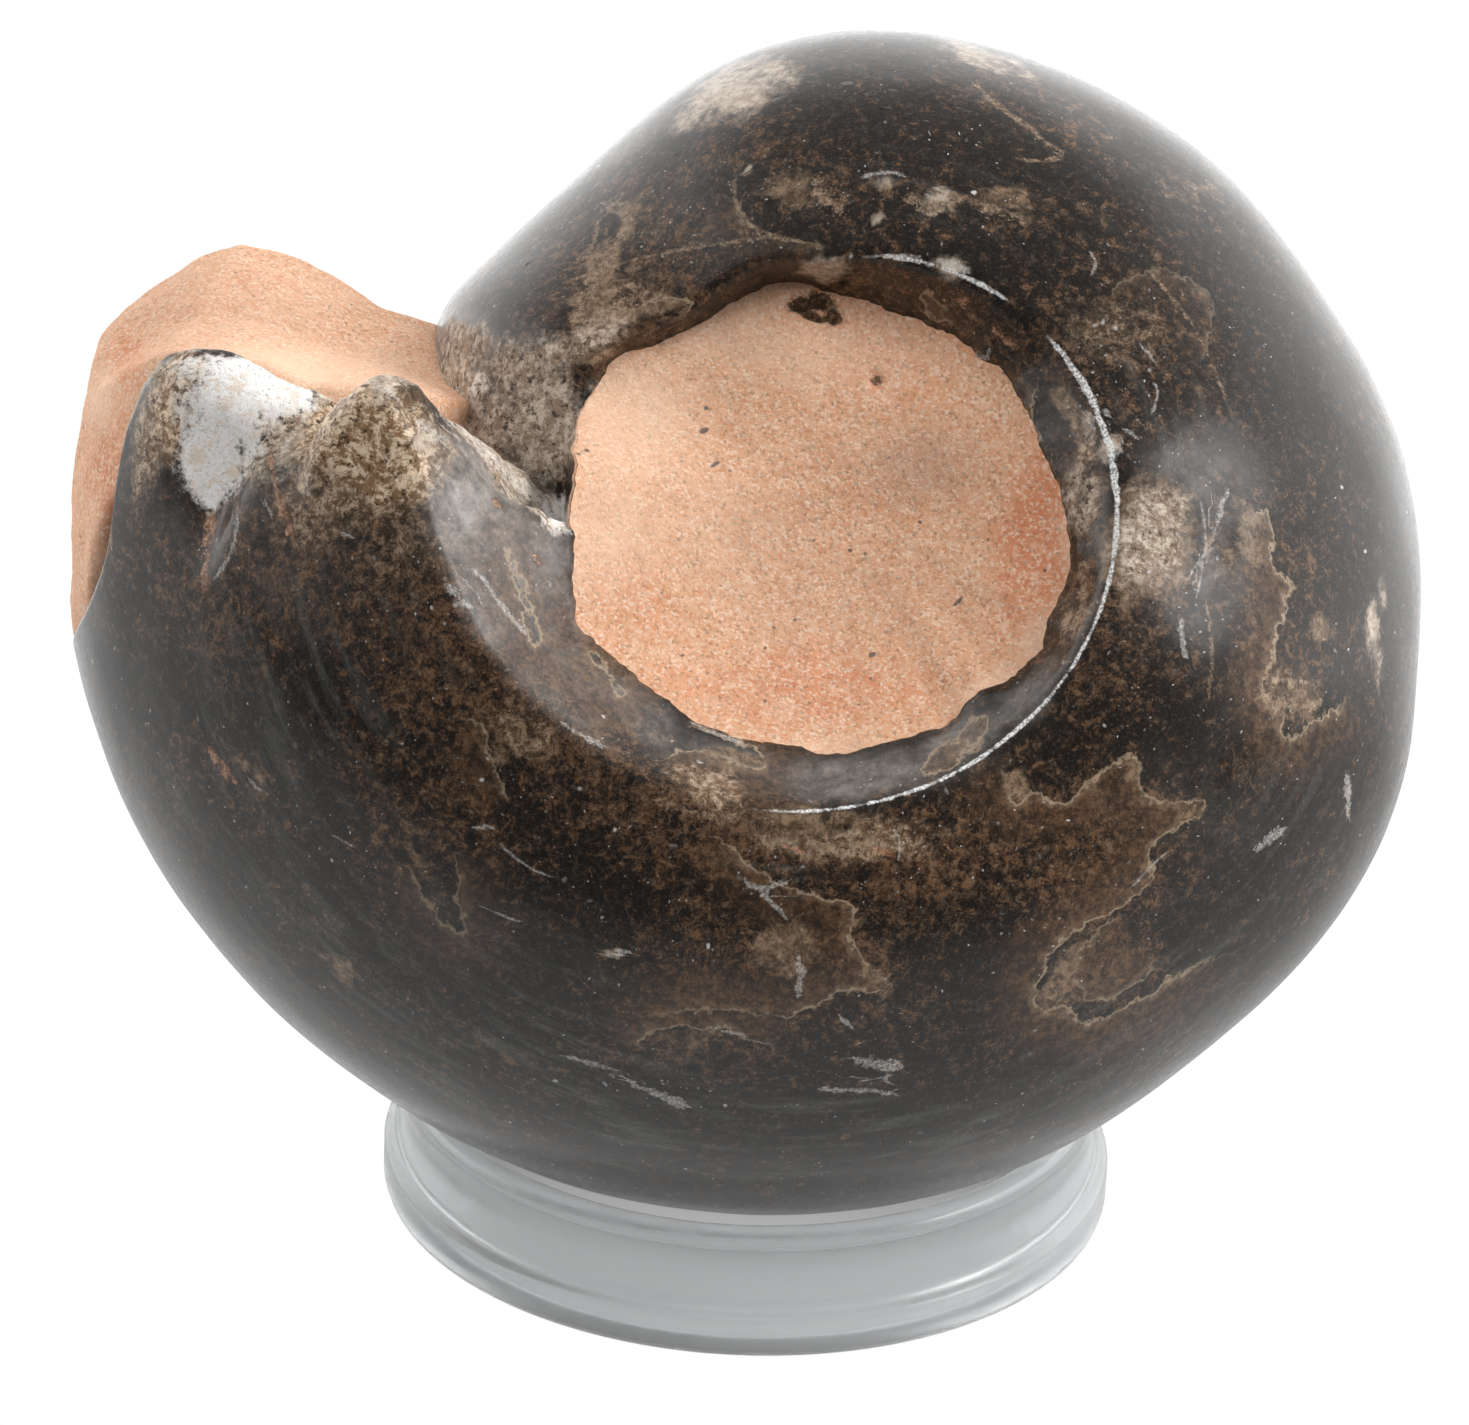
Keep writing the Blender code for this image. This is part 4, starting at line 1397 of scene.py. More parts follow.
    # Painted reflection: grey sheen along the edges and underside, where the polish mirrors the surround at a
    # grazing angle.
    veil: tuple[Spot, ...] = spots((490, 1030, 250, 85, 28, 1.2), (290, 680, 110, 120, 20, 0.95),
        (800, 1130, 300, 50, 0, 1.1), (1150, 1040, 160, 90, -35, 0.8), (260, 840, 110, 120, 40, 0.6),
        (1280, 820, 80, 130, 10, 0.5), (900, 200, 220, 60, 5, 0.35), (1180, 400, 80, 60, 0, 0.5),
        (780, 885, 70, 20, 20, 0.8))
    specks: tuple[Spot, ...] = spots((500, 570, 60, 30, 30, 0.8), (360, 590, 60, 40, 0, 0.5),
        (905, 830, 60, 70, 0, 0.6), (760, 880, 50, 20, 30, 1), (900, 1020, 60, 30, 0, 0.6),
        (670, 1090, 50, 14, 15, 1), (880, 1063, 30, 11, 0, 1), (1130, 440, 70, 50, 20, 0.9),
        (1150, 690, 70, 60, 0, 0.6), (700, 240, 70, 26, 10, 0.9), (1280, 730, 40, 20, 0, 0.9),
        (760, 180, 90, 40, 0, 0.6), (300, 905, 30, 12, 40, 0.9), (590, 860, 90, 60, 0, 0.4),
        (1030, 900, 100, 70, 0, 0.35), (1120, 370, 60, 60, 0, 0.7), (410, 590, 40, 30, 0, 0.9),
        (560, 490, 40, 14, 35, 0.9), (470, 780, 90, 40, 20, 0.45), (1200, 590, 20, 60, 15, 1),
        (460, 600, 20, 24, -35, 1), (360, 860, 60, 20, 40, 0.6), (1220, 780, 60, 30, 0, 0.4),
        (950, 180, 60, 40, 0, 0.4))
    chalk: tuple[Spot, ...] = spots((225, 415, 42, 40, 10, 1), (212, 462, 28, 34, 15, 1.1),
        (245, 385, 60, 24, 10, 0.9), (285, 400, 30, 18, -20, 0.8), (205, 490, 16, 16, 0, 0.9),
        (210, 370, 30, 14, 10, 0.8), (562, 518, 14, 16, 10, 0.8), (255, 440, 14, 30, 35, 0.7),
        (478, 385, 14, 12, 20, 0.5))
    # Partly painted highlight: some white strokes are real white marks, and those along the shoulders and the
    # rim are painted glints.
    stroke_white: tuple[Line, ...] = strokes((4.5, 446, 583, 456, 596, 474, 609),
        (2, 471, 569, 485, 580, 494, 596, 528, 637), (2.5, 560, 722, 576, 732, 607, 748),
        (2, 861, 257, 892, 256, 922, 257), (6, 936, 262, 952, 266, 969, 272),
        (4, 1089, 413, 1091, 422, 1094, 432), (5, 1106, 448, 1113, 450, 1121, 452),
        (3.5, 978, 354, 984, 360, 990, 349), (4.5, 1255, 851, 1270, 838, 1286, 827),
        (3, 1347, 775, 1348, 796, 1347, 818), (1.8, 1139, 344, 1147, 352, 1155, 363),
        (1.8, 1123, 428, 1131, 433, 1139, 438), (1.6, 1152, 382, 1158, 391, 1152, 414),
        (3, 1229, 487, 1222, 506, 1216, 530), (1.5, 1212, 548, 1197, 563, 1188, 580),
        (3, 1181, 618, 1182, 640, 1187, 658), (1.2, 1200, 500, 1206, 540, 1196, 600),
        (2, 722, 1031, 735, 1033, 748, 1036), (2, 560, 1055, 590, 1063, 619, 1071),
        (4, 629, 1082, 660, 1095, 691, 1108), (2.5, 815, 1089, 855, 1090, 897, 1094),
        (6, 852, 1060, 878, 1063, 903, 1067), (3.5, 613, 952, 622, 951, 631, 952),
        (4, 798, 955, 801, 975, 797, 997), (2.5, 839, 1017, 846, 1022, 853, 1028),
        (6, 439, 408, 470, 434, 503, 470, 536, 498, 574, 536), (4, 346, 379, 363, 381, 383, 388, 402, 402),
        (8, 417, 420, 432, 433, 446, 446), (2.5, 346, 380, 324, 394, 306, 416, 289, 441, 278, 462),
        (4, 176, 351, 204, 347, 232, 345), (3, 343, 533, 348, 536, 354, 538),
        (1.8, 247, 777, 256, 786, 265, 794), (2, 237, 514, 235, 541, 227, 560, 214, 580),
        (2, 262, 497, 268, 508, 272, 518), (2, 690, 722, 712, 732, 745, 744),
        (1.5, 480, 905, 500, 915, 520, 922), (2, 470, 828, 490, 826, 494, 829),
        (1.3, 500, 845, 530, 868, 555, 878), (1.5, 330, 833, 345, 842, 352, 846),
        (3, 745, 882, 765, 889, 790, 880), (2.5, 760, 895, 775, 905, 788, 921),
        (1.2, 895, 830, 900, 845, 898, 860), (1.2, 1130, 890, 1155, 862, 1170, 850),
        (2, 860, 178, 884, 172, 905, 176), (1.4, 1088, 250, 1096, 262, 1090, 276))
    stroke_orange: tuple[Line, ...] = strokes((4, 269, 448, 272, 468, 276, 488),
        (5, 277, 490, 284, 515, 294, 540), (5.5, 993, 326, 1005, 338, 1017, 350),
        (4, 1074, 441, 1077, 442, 1081, 443), (2.5, 107, 473, 109, 510, 112, 552),
        (2.5, 943, 843, 947, 846, 951, 850), (6, 213, 510, 208, 545, 204, 592),
        (5, 494, 500, 497, 503, 500, 508), (5, 957, 300, 963, 301, 969, 302),
        (5, 208, 747, 221, 762, 238, 786), (3, 534, 553, 537, 560, 541, 566),
        (5, 780, 845, 795, 848, 806, 855), (4, 870, 848, 885, 852, 897, 858))
    stroke_tan: tuple[Line, ...] = strokes(
        (7, 601, 203, 620, 207, 630, 219, 622, 237, 608, 262, 594, 284, 578, 312),
        (7, 568, 314, 590, 320, 606, 322, 622, 312, 634, 296), (7, 550, 360, 580, 352, 613, 347),
        (3, 575, 262, 592, 246, 598, 222), (3, 640, 306, 662, 297, 686, 306, 680, 318, 655, 321),
        (1.8, 560, 284, 632, 260, 705, 246, 776, 238, 824, 250),
        (2.6, 736, 172, 735, 198, 752, 226, 783, 237, 811, 244),
        (2.4, 971, 81, 996, 103, 1022, 122, 1047, 142, 1063, 154, 1047, 161, 1015, 158),
        (10, 760, 935, 782, 950, 797, 974), (12, 815, 180, 826, 198, 842, 212),
        (10, 905, 200, 935, 205, 960, 196), (6, 975, 205, 1003, 210, 1030, 222),
        (2, 1150, 272, 1196, 330, 1226, 400), (5, 655, 800, 690, 812, 730, 818),
        (7, 760, 838, 830, 846, 900, 842), (2, 1206, 600, 1212, 650, 1208, 700),
        (5, 1085, 560, 1082, 600, 1074, 640), (7, 1258, 690, 1290, 706, 1322, 700))
    # Partly painted shade: some dark strokes are real dark marks, and others are shade painted into grooves and
    # joints.
    stroke_dark: tuple[Line, ...] = strokes((7, 226, 516, 221, 545, 211, 577),
        (1, 128, 509, 150, 493, 181, 476), (2, 560, 1136, 640, 1150, 753, 1165),
        (5, 1063, 425, 1066, 427, 1070, 430), (5, 270, 478, 264, 520, 266, 560),
        (6, 495, 446, 504, 452, 512, 458), (6, 622, 240, 626, 262, 618, 286),
        (6, 640, 315, 660, 322, 684, 318), (3, 815, 300, 822, 308, 832, 316),
        (2, 700, 1012, 745, 1014, 790, 1014), (5, 1090, 462, 1083, 490, 1076, 520),
        (4, 1050, 395, 1060, 430, 1072, 452), (6, 800, 872, 840, 878, 880, 876),
        (4, 560, 365, 590, 352, 620, 343))


@dataclass(frozen=True)
class Dent:
    """A shallow hollow or swell of the polished surface, placed by the photograph."""

    spot: Spot
    height: float


@dataclass
class Stone:
    """What every stone piece shares: its finish, the coil's shape and stand, and the photograph's view."""

    material: bpy.types.Material
    law: GrowthLaw = field(default_factory=GrowthLaw)
    standing: Standing = field(default_factory=Standing)
    view: PhotoView = field(default_factory=PhotoView)
    socket_depth: float = 5.0
    socket_taper: float = 0.92

    def surface(self, piece: bpy.types.Object) -> tuple[Array, Array, Array]:
        """Reads a piece's surface.

        Args:
            piece: The piece.

        Returns:
            Its vertices in mm, their normals, and the pixels where they show in the photograph.
        """
        points = read_points(piece.data)
        return points, read_normals(piece.data), self.view.pixels(points)

    def roughened(self, points: Array, layers: Table) -> Array:
        """How far noise lifts each point.

        Args:
            points: Points in mm.
            layers: Rows of a height in mm, a feature size in mm and a seed.

        Returns:
            The lift in mm.
        """
        return sum(height * rough(points, size, seed) for height, size, seed in layers)


@dataclass
class AmmoniteCoil(Stone):
    """The dark coil: one turn of the growth law with its broken end, its sockets and its markings."""

    marks: CoilMarks = field(default_factory=CoilMarks)
    socket_floor: float = 6.0
    end_line: Table = ((-110, -15), (-106, -12), (-98, -9), (-89.5, -5), (-85, -1), (-80, 4), (-74.5, 7.5),
                       (-71, 7.2), (-67, 5.6), (-63, 3.6), (-59, 4.5), (-53, 7.5), (-48, 8.5), (-42.5, 7),
                       (-40, 4), (-35.5, -1.5), (-32, -6), (-27, -9), (-17, -11), (0, -11), (60, -6), (80, 0),
                       (95, -6), (110, -12))
    end_round: Table = ((-110, 0.5), (-95, 1.6), (-80, 2.8), (-74, 3.2), (-71, 3.4), (-67, 4.6), (-63, 7.5),
                        (-59, 7.0), (-54, 4.2), (-48, 3.0), (-42, 2.2), (-38, 0.8), (110, 0.8))
    end_round_limit: float = 0.4
    end_slope: Table = ((-110, 1), (-98, -6), (-85, -8), (-53, -8), (-42, -3), (-27, 3), (110, 3))
    lobes: Table = ((26.0, 4.2, 1.3), (38.0, 2.4, 0.6))
    lobe_start: float = -6
    lobe_rise: float = 10
    skin: Table = ((0.07, 7.0, 0.0), (0.025, 2.6, 4.0))
    torn_skin: Table = ((0.28, 1.9, 9.0), (0.14, 0.8, 12.0))
    torn_from: float = 0.06
    hidden_step: float = 24.0
    hidden_strength: float = 0.6
    frills: Table = ((6.0, 3.4, 0.0), (3.2, 8.3, 1.0), (1.7, 19.0, 0.0))
    # On the hidden sides the brown and the specks spread faintly, and so does the painted grey sheen.
    hidden_shares: tuple[tuple[str, float], ...] = (("brown", 0.55), ("veil", 0.45), ("specks", 0.3))
    bends: Table = ((11.0, 2.4, 51.0), (5.0, 0.9, 53.0))
    groove: Table = ((-14, 36.0, 0.8, 0.0), (-5, 35.2, 1.6, 1.4), (0, 33.4, 2.6, 2.0), (4, 31.5, 3.0, 2.2),
                     (9, 31.0, 3.2, 2.2))
    near_edge: float = -28
    outer_from: float = 200
    least_step: float = 0.01
    late_turn: float = 32.0
    turn_columns: int = 312
    late_columns: int = 44
    round_columns: int = 16
    face_columns: int = 18
    dents: tuple[Dent, ...] = (
        Dent(Spot(1205, 560, 26, 70, 10), -0.16), Dent(Spot(1130, 450, 40, 26, 0), 0.25),
        Dent(Spot(1120, 540, 40, 50, 0), 0.18), Dent(Spot(480, 520, 30, 60, -20), 0.15),
    )

    def places(self) -> Array:
        """The rows' places across the whorl.

        Returns:
            Degrees round the section, from the near seat to the far one.
        """
        flank = self.law.flank_angle - self.law.round_span
        wall = self.law.flank_angle + self.law.round_span
        seat = self.law.seat_place
        runs = ((-seat, -wall, 22), (-wall, -flank, 12), (-flank, self.near_edge, 96), (self.near_edge, 30, 56),
                (30, flank, 34), (flank, wall, 6), (wall, seat, 8))
        rows = [np.linspace(start, end, count, endpoint=False) for start, end, count in runs]
        return np.append(np.concatenate(rows), seat)

    def columns(self, place: float) -> tuple[Array, Array]:
        """The mesh's columns at one place.

        Args:
            place: Degrees round the section.

        Returns:
            Each column's turn, and its share of the way down to the whorl beneath.
        """
        last = 360 + float(smooth(self.end_line, place))
        lean = float(smooth(self.end_slope, place))
        first = last - 360 + lean
        over = self.law.section(last, place)
        step = float(np.linalg.norm(over - self.law.section(last - 360, place)))
        rounding = min(float(smooth(self.end_round, place)), self.end_round_limit * step)
        rounded_from = last - math.degrees(rounding / float(over[0]))
        late_from = rounded_from - self.late_turn
        early = np.linspace(first, late_from, self.turn_columns, endpoint=False)
        late = np.linspace(late_from, rounded_from, self.late_columns, endpoint=False)
        t = np.linspace(0, math.pi / 2, self.round_columns)
        edge = rounded_from + (last - rounded_from) * np.sin(t)
        drop = rounding * (1 - np.cos(t)) / max(step, self.least_step)
        t = np.arange(1, self.face_columns + 1) / (self.face_columns + 1)
        turns = np.concatenate([early, late, edge, last + lean * t])
        flat = np.zeros(len(early) + len(late))
        return turns, np.concatenate([flat, drop, drop[-1] + (1 - drop[-1]) * t])

    def relief(self, turn: Array, place: float, radius: Array) -> Array:
        """How far the lobes beside the break stand out, less the groove between them.

        Args:
            turn: Degrees round the coil.
            place: Degrees round the section.
            radius: Mm from the axis.

        Returns:
            The height in mm.
        """
        late = turn - 360
        swell = np.clip((late - self.lobe_start) / self.lobe_rise, 0, 1)
        out = sum(height * np.exp(-(((radius - at) / wide) ** 2)) for at, wide, height in self.lobes)
        centre, width, depth = (smooth(self.groove, late, index) for index in (1, 2, 3))
        cut = depth * np.exp(-(((radius - centre) / width) ** 2))
        near = (place <= self.near_edge) & (late >= self.groove[0][0])
        return np.where(near, swell * out - cut, 0.0)

    def shape(self, piece: bpy.types.Object, columns: int, rows: int) -> dict[str, Array]:
        """Puts every vertex of the sphere on the coil.

        Args:
            piece: The sphere.
            columns: Its vertices round.
            rows: Its bands.

        Returns:
            Each vertex's turn, place, radius and share, for the markings.
        """
        places = self.places()
        column_of, row_of = grid_places(piece, columns, rows)
        grid = {key: np.zeros((rows + 1, columns)) for key in ("turn", "place", "radius", "depth", "share")}
        for index, place in enumerate(places):
            turn, share = self.columns(place)
            over = self.law.section(turn, place)
            under = self.law.section(turn - 360, place)
            step = np.maximum(np.linalg.norm(over - under, axis=1), self.least_step)
            outer = turn >= self.outer_from
            part = np.where(outer, share - self.relief(turn, place, over[:, 0]) / step, 0.0)[:, None]
            point = over * (1 - part) + under * part
            for key, values in zip(grid, (turn, place, point[:, 0], point[:, 1], share)):
                grid[key][index + 2] = values
        for side, seat_row, socket_row, pole_row in ((-1, 2, 1, 0), (1, rows - 2, rows - 1, rows)):
            turn = grid["turn"][seat_row]
            for key in ("turn", "place", "share"):
                grid[key][socket_row] = grid[key][seat_row]
                grid[key][pole_row] = grid[key][seat_row]
            grid["radius"][socket_row] = self.law.seat(turn, side < 0) * self.socket_taper
            grid["depth"][socket_row] = side * (self.law.seat_depth(turn) - self.socket_depth)
            grid["radius"][pole_row] = 0.0
            grid["depth"][pole_row] = side * self.socket_floor
        at = {key: values[row_of, column_of] for key, values in grid.items()}
        write_points(piece.data, self.standing.world(at["turn"], at["radius"], at["depth"]))
        return at

    def uneven(self, piece: bpy.types.Object, at: dict[str, Array]) -> None:
        """Gives the polished surface its slight unevenness and the broken end its rough one.

        Args:
            piece: The coil.
            at: Each vertex's turn, place, radius and share.
        """
        points, normals, pixels = self.surface(piece)
        open_stone = rise(np.abs(at["place"]), self.law.seat_place, self.law.seat_place - 6)
        shift = self.roughened(points, self.skin)
        facing = self.facing(points, normals)
        for dent in self.dents:
            shift += dent.height * dent.spot.weight(pixels) * facing
        shift += rise(at["share"], 0.0, self.torn_from) * self.roughened(points, self.torn_skin)
        write_points(piece.data, points + normals * (shift * open_stone)[:, None])

    def facing(self, points: Array, normals: Array) -> Array:
        """How much each vertex faces the camera.

        Args:
            points: The vertices in mm.
            normals: Their normals.

        Returns:
            A share from 0 to 1.
        """
        to_camera = self.view.axes()[0] - points
        to_camera /= np.linalg.norm(to_camera, axis=1)[:, None]
        return rise(np.einsum("ij,ij->i", normals, to_camera), -0.15, 0.02)

    def hidden_sutures(self, at: dict[str, Array], points: Array) -> Array:
        """How far each vertex is from the frilled sutures of the sides that the photograph doesn't show.

        Args:
            at: Each vertex's turn, place and radius.
            points: The vertices in mm.

        Returns:
            The signed distance in mm.
        """
        across = np.radians(at["place"])
        frill = sum(reach * np.sin(across * rate + start) for reach, rate, start in self.frills)
        turned = at["turn"] + frill + 2.5 * rough(points, 5.0, 31.0)
        return (np.mod(turned, self.hidden_step) - self.hidden_step / 2) * np.radians(1.0) * at["radius"]

    def mark(self, piece: bpy.types.Object, at: dict[str, Array]) -> None:
        """Stores the markings on the mesh.

        Args:
            piece: The coil.
            at: Each vertex's turn, place, radius and share.
        """
        mesh = piece.data
        points, normals, pixels = self.surface(piece)
        bent = pixels + np.stack([self.roughened(points, tuple((reach, size, seed + axis)
                                                               for reach, size, seed in self.bends))
                                  for axis in (0, 1)], -1)
        facing = self.facing(points, normals)
        hidden = 1 - rise(facing, 0.0, 0.5)
        scale = self.view.pixels_per_mm()
        for name in SUTURES:
            distance, shown = line_layer(pixels, getattr(self.marks, name), scale)
            shown = shown * facing
            if name == SUTURES[-1]:
                distance = np.where(hidden > 0.5, self.hidden_sutures(at, points), distance)
                shown = np.where(hidden > 0.5, self.hidden_strength * hidden, shown)
            store(mesh, name, distance)
            store(mesh, name + "_shown", shown)
        for name in STROKES:
            distance, width = stroke_layer(pixels, getattr(self.marks, name), scale)
            store(mesh, name, distance)
            store(mesh, name + "_width", width * facing)
        everywhere = dict(self.hidden_shares)
        for name in ("brown", "tan", "pale", "crystal", "dusty", "haze", "veil", "specks", "chalk"):
            seen = patches(bent, getattr(self.marks, name)) * facing
            if name in everywhere:
                cloud = rise(rough(points, 12.0, 40.0 + len(name)), -0.25, 0.35)
                seen += everywhere[name] * hidden * cloud
            store(mesh, name, seen)
        self.mark_rim(mesh, at)

    def mark_rim(self, mesh: bpy.types.Mesh, at: dict[str, Array]) -> None:
        """Stores what follows the whorl: its own coordinates, its worn rim with its painted glint, and its
        broken end.

        Args:
            mesh: The coil's mesh.
            at: Each vertex's turn, place, radius and share.
        """
        across = np.radians(at["place"]) * 28.0
        store_vector(mesh, "along_whorl", np.stack([np.radians(at["turn"]) * at["radius"] * 0.12, across,
                                                    0 * across], -1) * MM)
        outer = self.law.flank_arc(at["turn"], np.full(len(across), self.law.flank_angle))[:, 0]
        store(mesh, "rim", (np.abs(at["place"]) - self.law.flank_angle) * np.radians(1.0) * outer * 0.5)
        # Painted highlight, partly real wear: the near rim is brightened between about 100 and 280 degrees
        # round the coil, where it catches the light.
        lit = rise(at["turn"], 92, 104) * rise(at["turn"], 292, 262) * rise(np.abs(at["turn"] - 136), 4, 9)
        store(mesh, "rim_wear_and_glint", lit * (at["place"] < 0) * (0.7 + 0.5 * rise(at["turn"], 148, 156)
                                                           * rise(at["turn"], 190, 172)))
        store(mesh, "broken", rise(at["share"], 0.0, 0.08))

    def build(self) -> bpy.types.Object:
        """Returns:
            The coil.
        """
        columns = self.turn_columns + self.late_columns + self.round_columns + self.face_columns
        rows = len(self.places()) + 3
        piece = sphere_piece("polished_coil", columns, rows, self.material)
        at = self.shape(piece, columns, rows)
        self.uneven(piece, at)
        self.mark(piece, at)
        finish_piece(piece, "ammonite_coil")
        return piece


class Side(Enum):
    """The two sides of the coil."""

    NEAR = -1
    FAR = 1


@dataclass
class SandstonePlug(Stone):
    """The sandstone that fills the coil's hollow on one side: a grainy dished face over a hidden body."""

    side: Side = Side.NEAR
    columns: int = 300
    face_rows: int = 120
    body_rows: int = 5
    body_share: float = 0.9
    overlap: float = 0.15
    clearance: float = 0.1
    skin: Table = ((0.16, 4.5, 2.0), (0.06, 1.5, 5.0), (0.035, 0.5, 7.0))
    floor: float = 6.5
    dish_floor: float = 17.0
    dish_power: float = 1.8
    red: tuple[Spot, ...] = spots((1035, 540, 45, 90, 0, 0.9), (870, 360, 110, 45, 15, 0.45),
        (960, 330, 60, 30, 25, 0.55), (640, 600, 50, 50, 0, 0.5), (800, 690, 170, 45, 0, 0.5),
        (950, 470, 90, 60, 0, 0.35))
    cream: tuple[Spot, ...] = spots((800, 350, 110, 34, 6, 0.5), (630, 420, 60, 70, 0, 0.75),
        (610, 530, 45, 60, 0, 0.7), (720, 330, 70, 30, -15, 0.5), (1045, 640, 20, 34, 30, 0.8),
        (985, 690, 40, 14, -30, 0.8), (1075, 540, 12, 40, 0, 0.9), (700, 520, 60, 60, 0, 0.3),
        (600, 395, 14, 20, 0, 0.6), (830, 747, 60, 8, 0, 0.5), (640, 700, 40, 8, 30, 0.4))
    grey: tuple[Spot, ...] = spots((925, 465, 55, 38, -10, 0.8), (780, 560, 70, 80, 0, 0.35),
        (700, 400, 60, 30, 0, 0.18), (740, 350, 30, 14, 30, 0.25), (850, 600, 110, 50, 0, 0.25))
    pit: tuple[Spot, ...] = spots((802, 302, 15, 8, -12, 1), (819, 300, 15, 9, 18, 1),
        (833, 315, 10, 9, 30, 0.9), (812, 314, 17, 5, 20, 0.8), (876, 380, 7, 7, 0, 0.6))
    marks: tuple[Spot, ...] = spots((704, 430, 6, 3, -20, 0.9), (706, 407, 3, 3, 60, 0.8),
        (715, 464, 7, 2.2, -30, 0.9), (872, 655, 4, 3, -20, 1), (958, 602, 7, 2.2, -40, 0.9),
        (850, 550, 3, 3, 0, 0.7), (795, 620, 3, 2.5, 0, 0.7), (682, 655, 4, 2.2, 40, 0.7),
        (1045, 572, 3, 3, 0, 0.7), (583, 452, 9, 2, -15, 0.8), (920, 522, 3, 2.5, 0, 0.7),
        (765, 648, 3, 2.5, 0, 0.7))

    def build(self) -> bpy.types.Object:
        """Returns:
            The plug.
        """
        side = self.side.value
        rows = self.face_rows + self.body_rows + 1
        name = f"{self.side.name.lower()}_plug_stone"
        piece = sphere_piece(name, self.columns, rows, self.material)
        column_of, row_of = grid_places(piece, self.columns, rows)
        turn = column_of * 360.0 / self.columns
        seat = self.law.seat(turn, side < 0)
        height = self.law.seat_depth(turn)
        share = np.clip(row_of / self.face_rows, 0, 1)
        radius = (seat + self.overlap) * share
        depth = self.dish_floor + (height - self.dish_floor) * share**self.dish_power
        body = np.clip((row_of - self.face_rows) / self.body_rows, 0, 1)
        radius = np.where(body > 0, seat * (1 - (1 - self.socket_taper) * body) - self.clearance, radius)
        depth = np.where(body > 0, height - self.socket_depth * self.body_share * body, depth)
        radius = np.where(row_of == rows, 0.0, radius)
        depth = np.where(row_of == rows, self.floor, depth)
        points = self.standing.world(turn, radius, side * depth)
        write_points(piece.data, points)
        self.weather(piece, share * (body == 0))
        finish_piece(piece, f"{self.side.name.lower()}_sandstone_plug")
        return piece

    def weather(self, piece: bpy.types.Object, share: Array) -> None:
        """Roughens the face, sinks its pit and stores its patches.

        Args:
            piece: The plug.
            share: How far out each vertex of the face is, and 0 on the hidden body.
        """
        mesh = piece.data
        points, normals, pixels = self.surface(piece)
        seen = 1.0 if self.side is Side.NEAR else 0.0
        loose = rise(share, 1.0, 0.93) * (share > 0)
        shift = self.roughened(points, self.skin)
        sunk = patches(pixels, self.pit) * seen
        shift -= sunk * (0.7 + 0.5 * rough(points, 0.7, 3.0))
        write_points(mesh, points + normals * (shift * loose)[:, None])
        store(mesh, "red", patches(pixels, self.red) * seen + 0.35 * (1 - seen))
        store(mesh, "cream", patches(pixels, self.cream) * seen)
        store(mesh, "grey", patches(pixels, self.grey) * seen + 0.15 * (1 - seen))
        store(mesh, "pit", sunk)
        store(mesh, "marks", patches(pixels, self.marks) * seen)


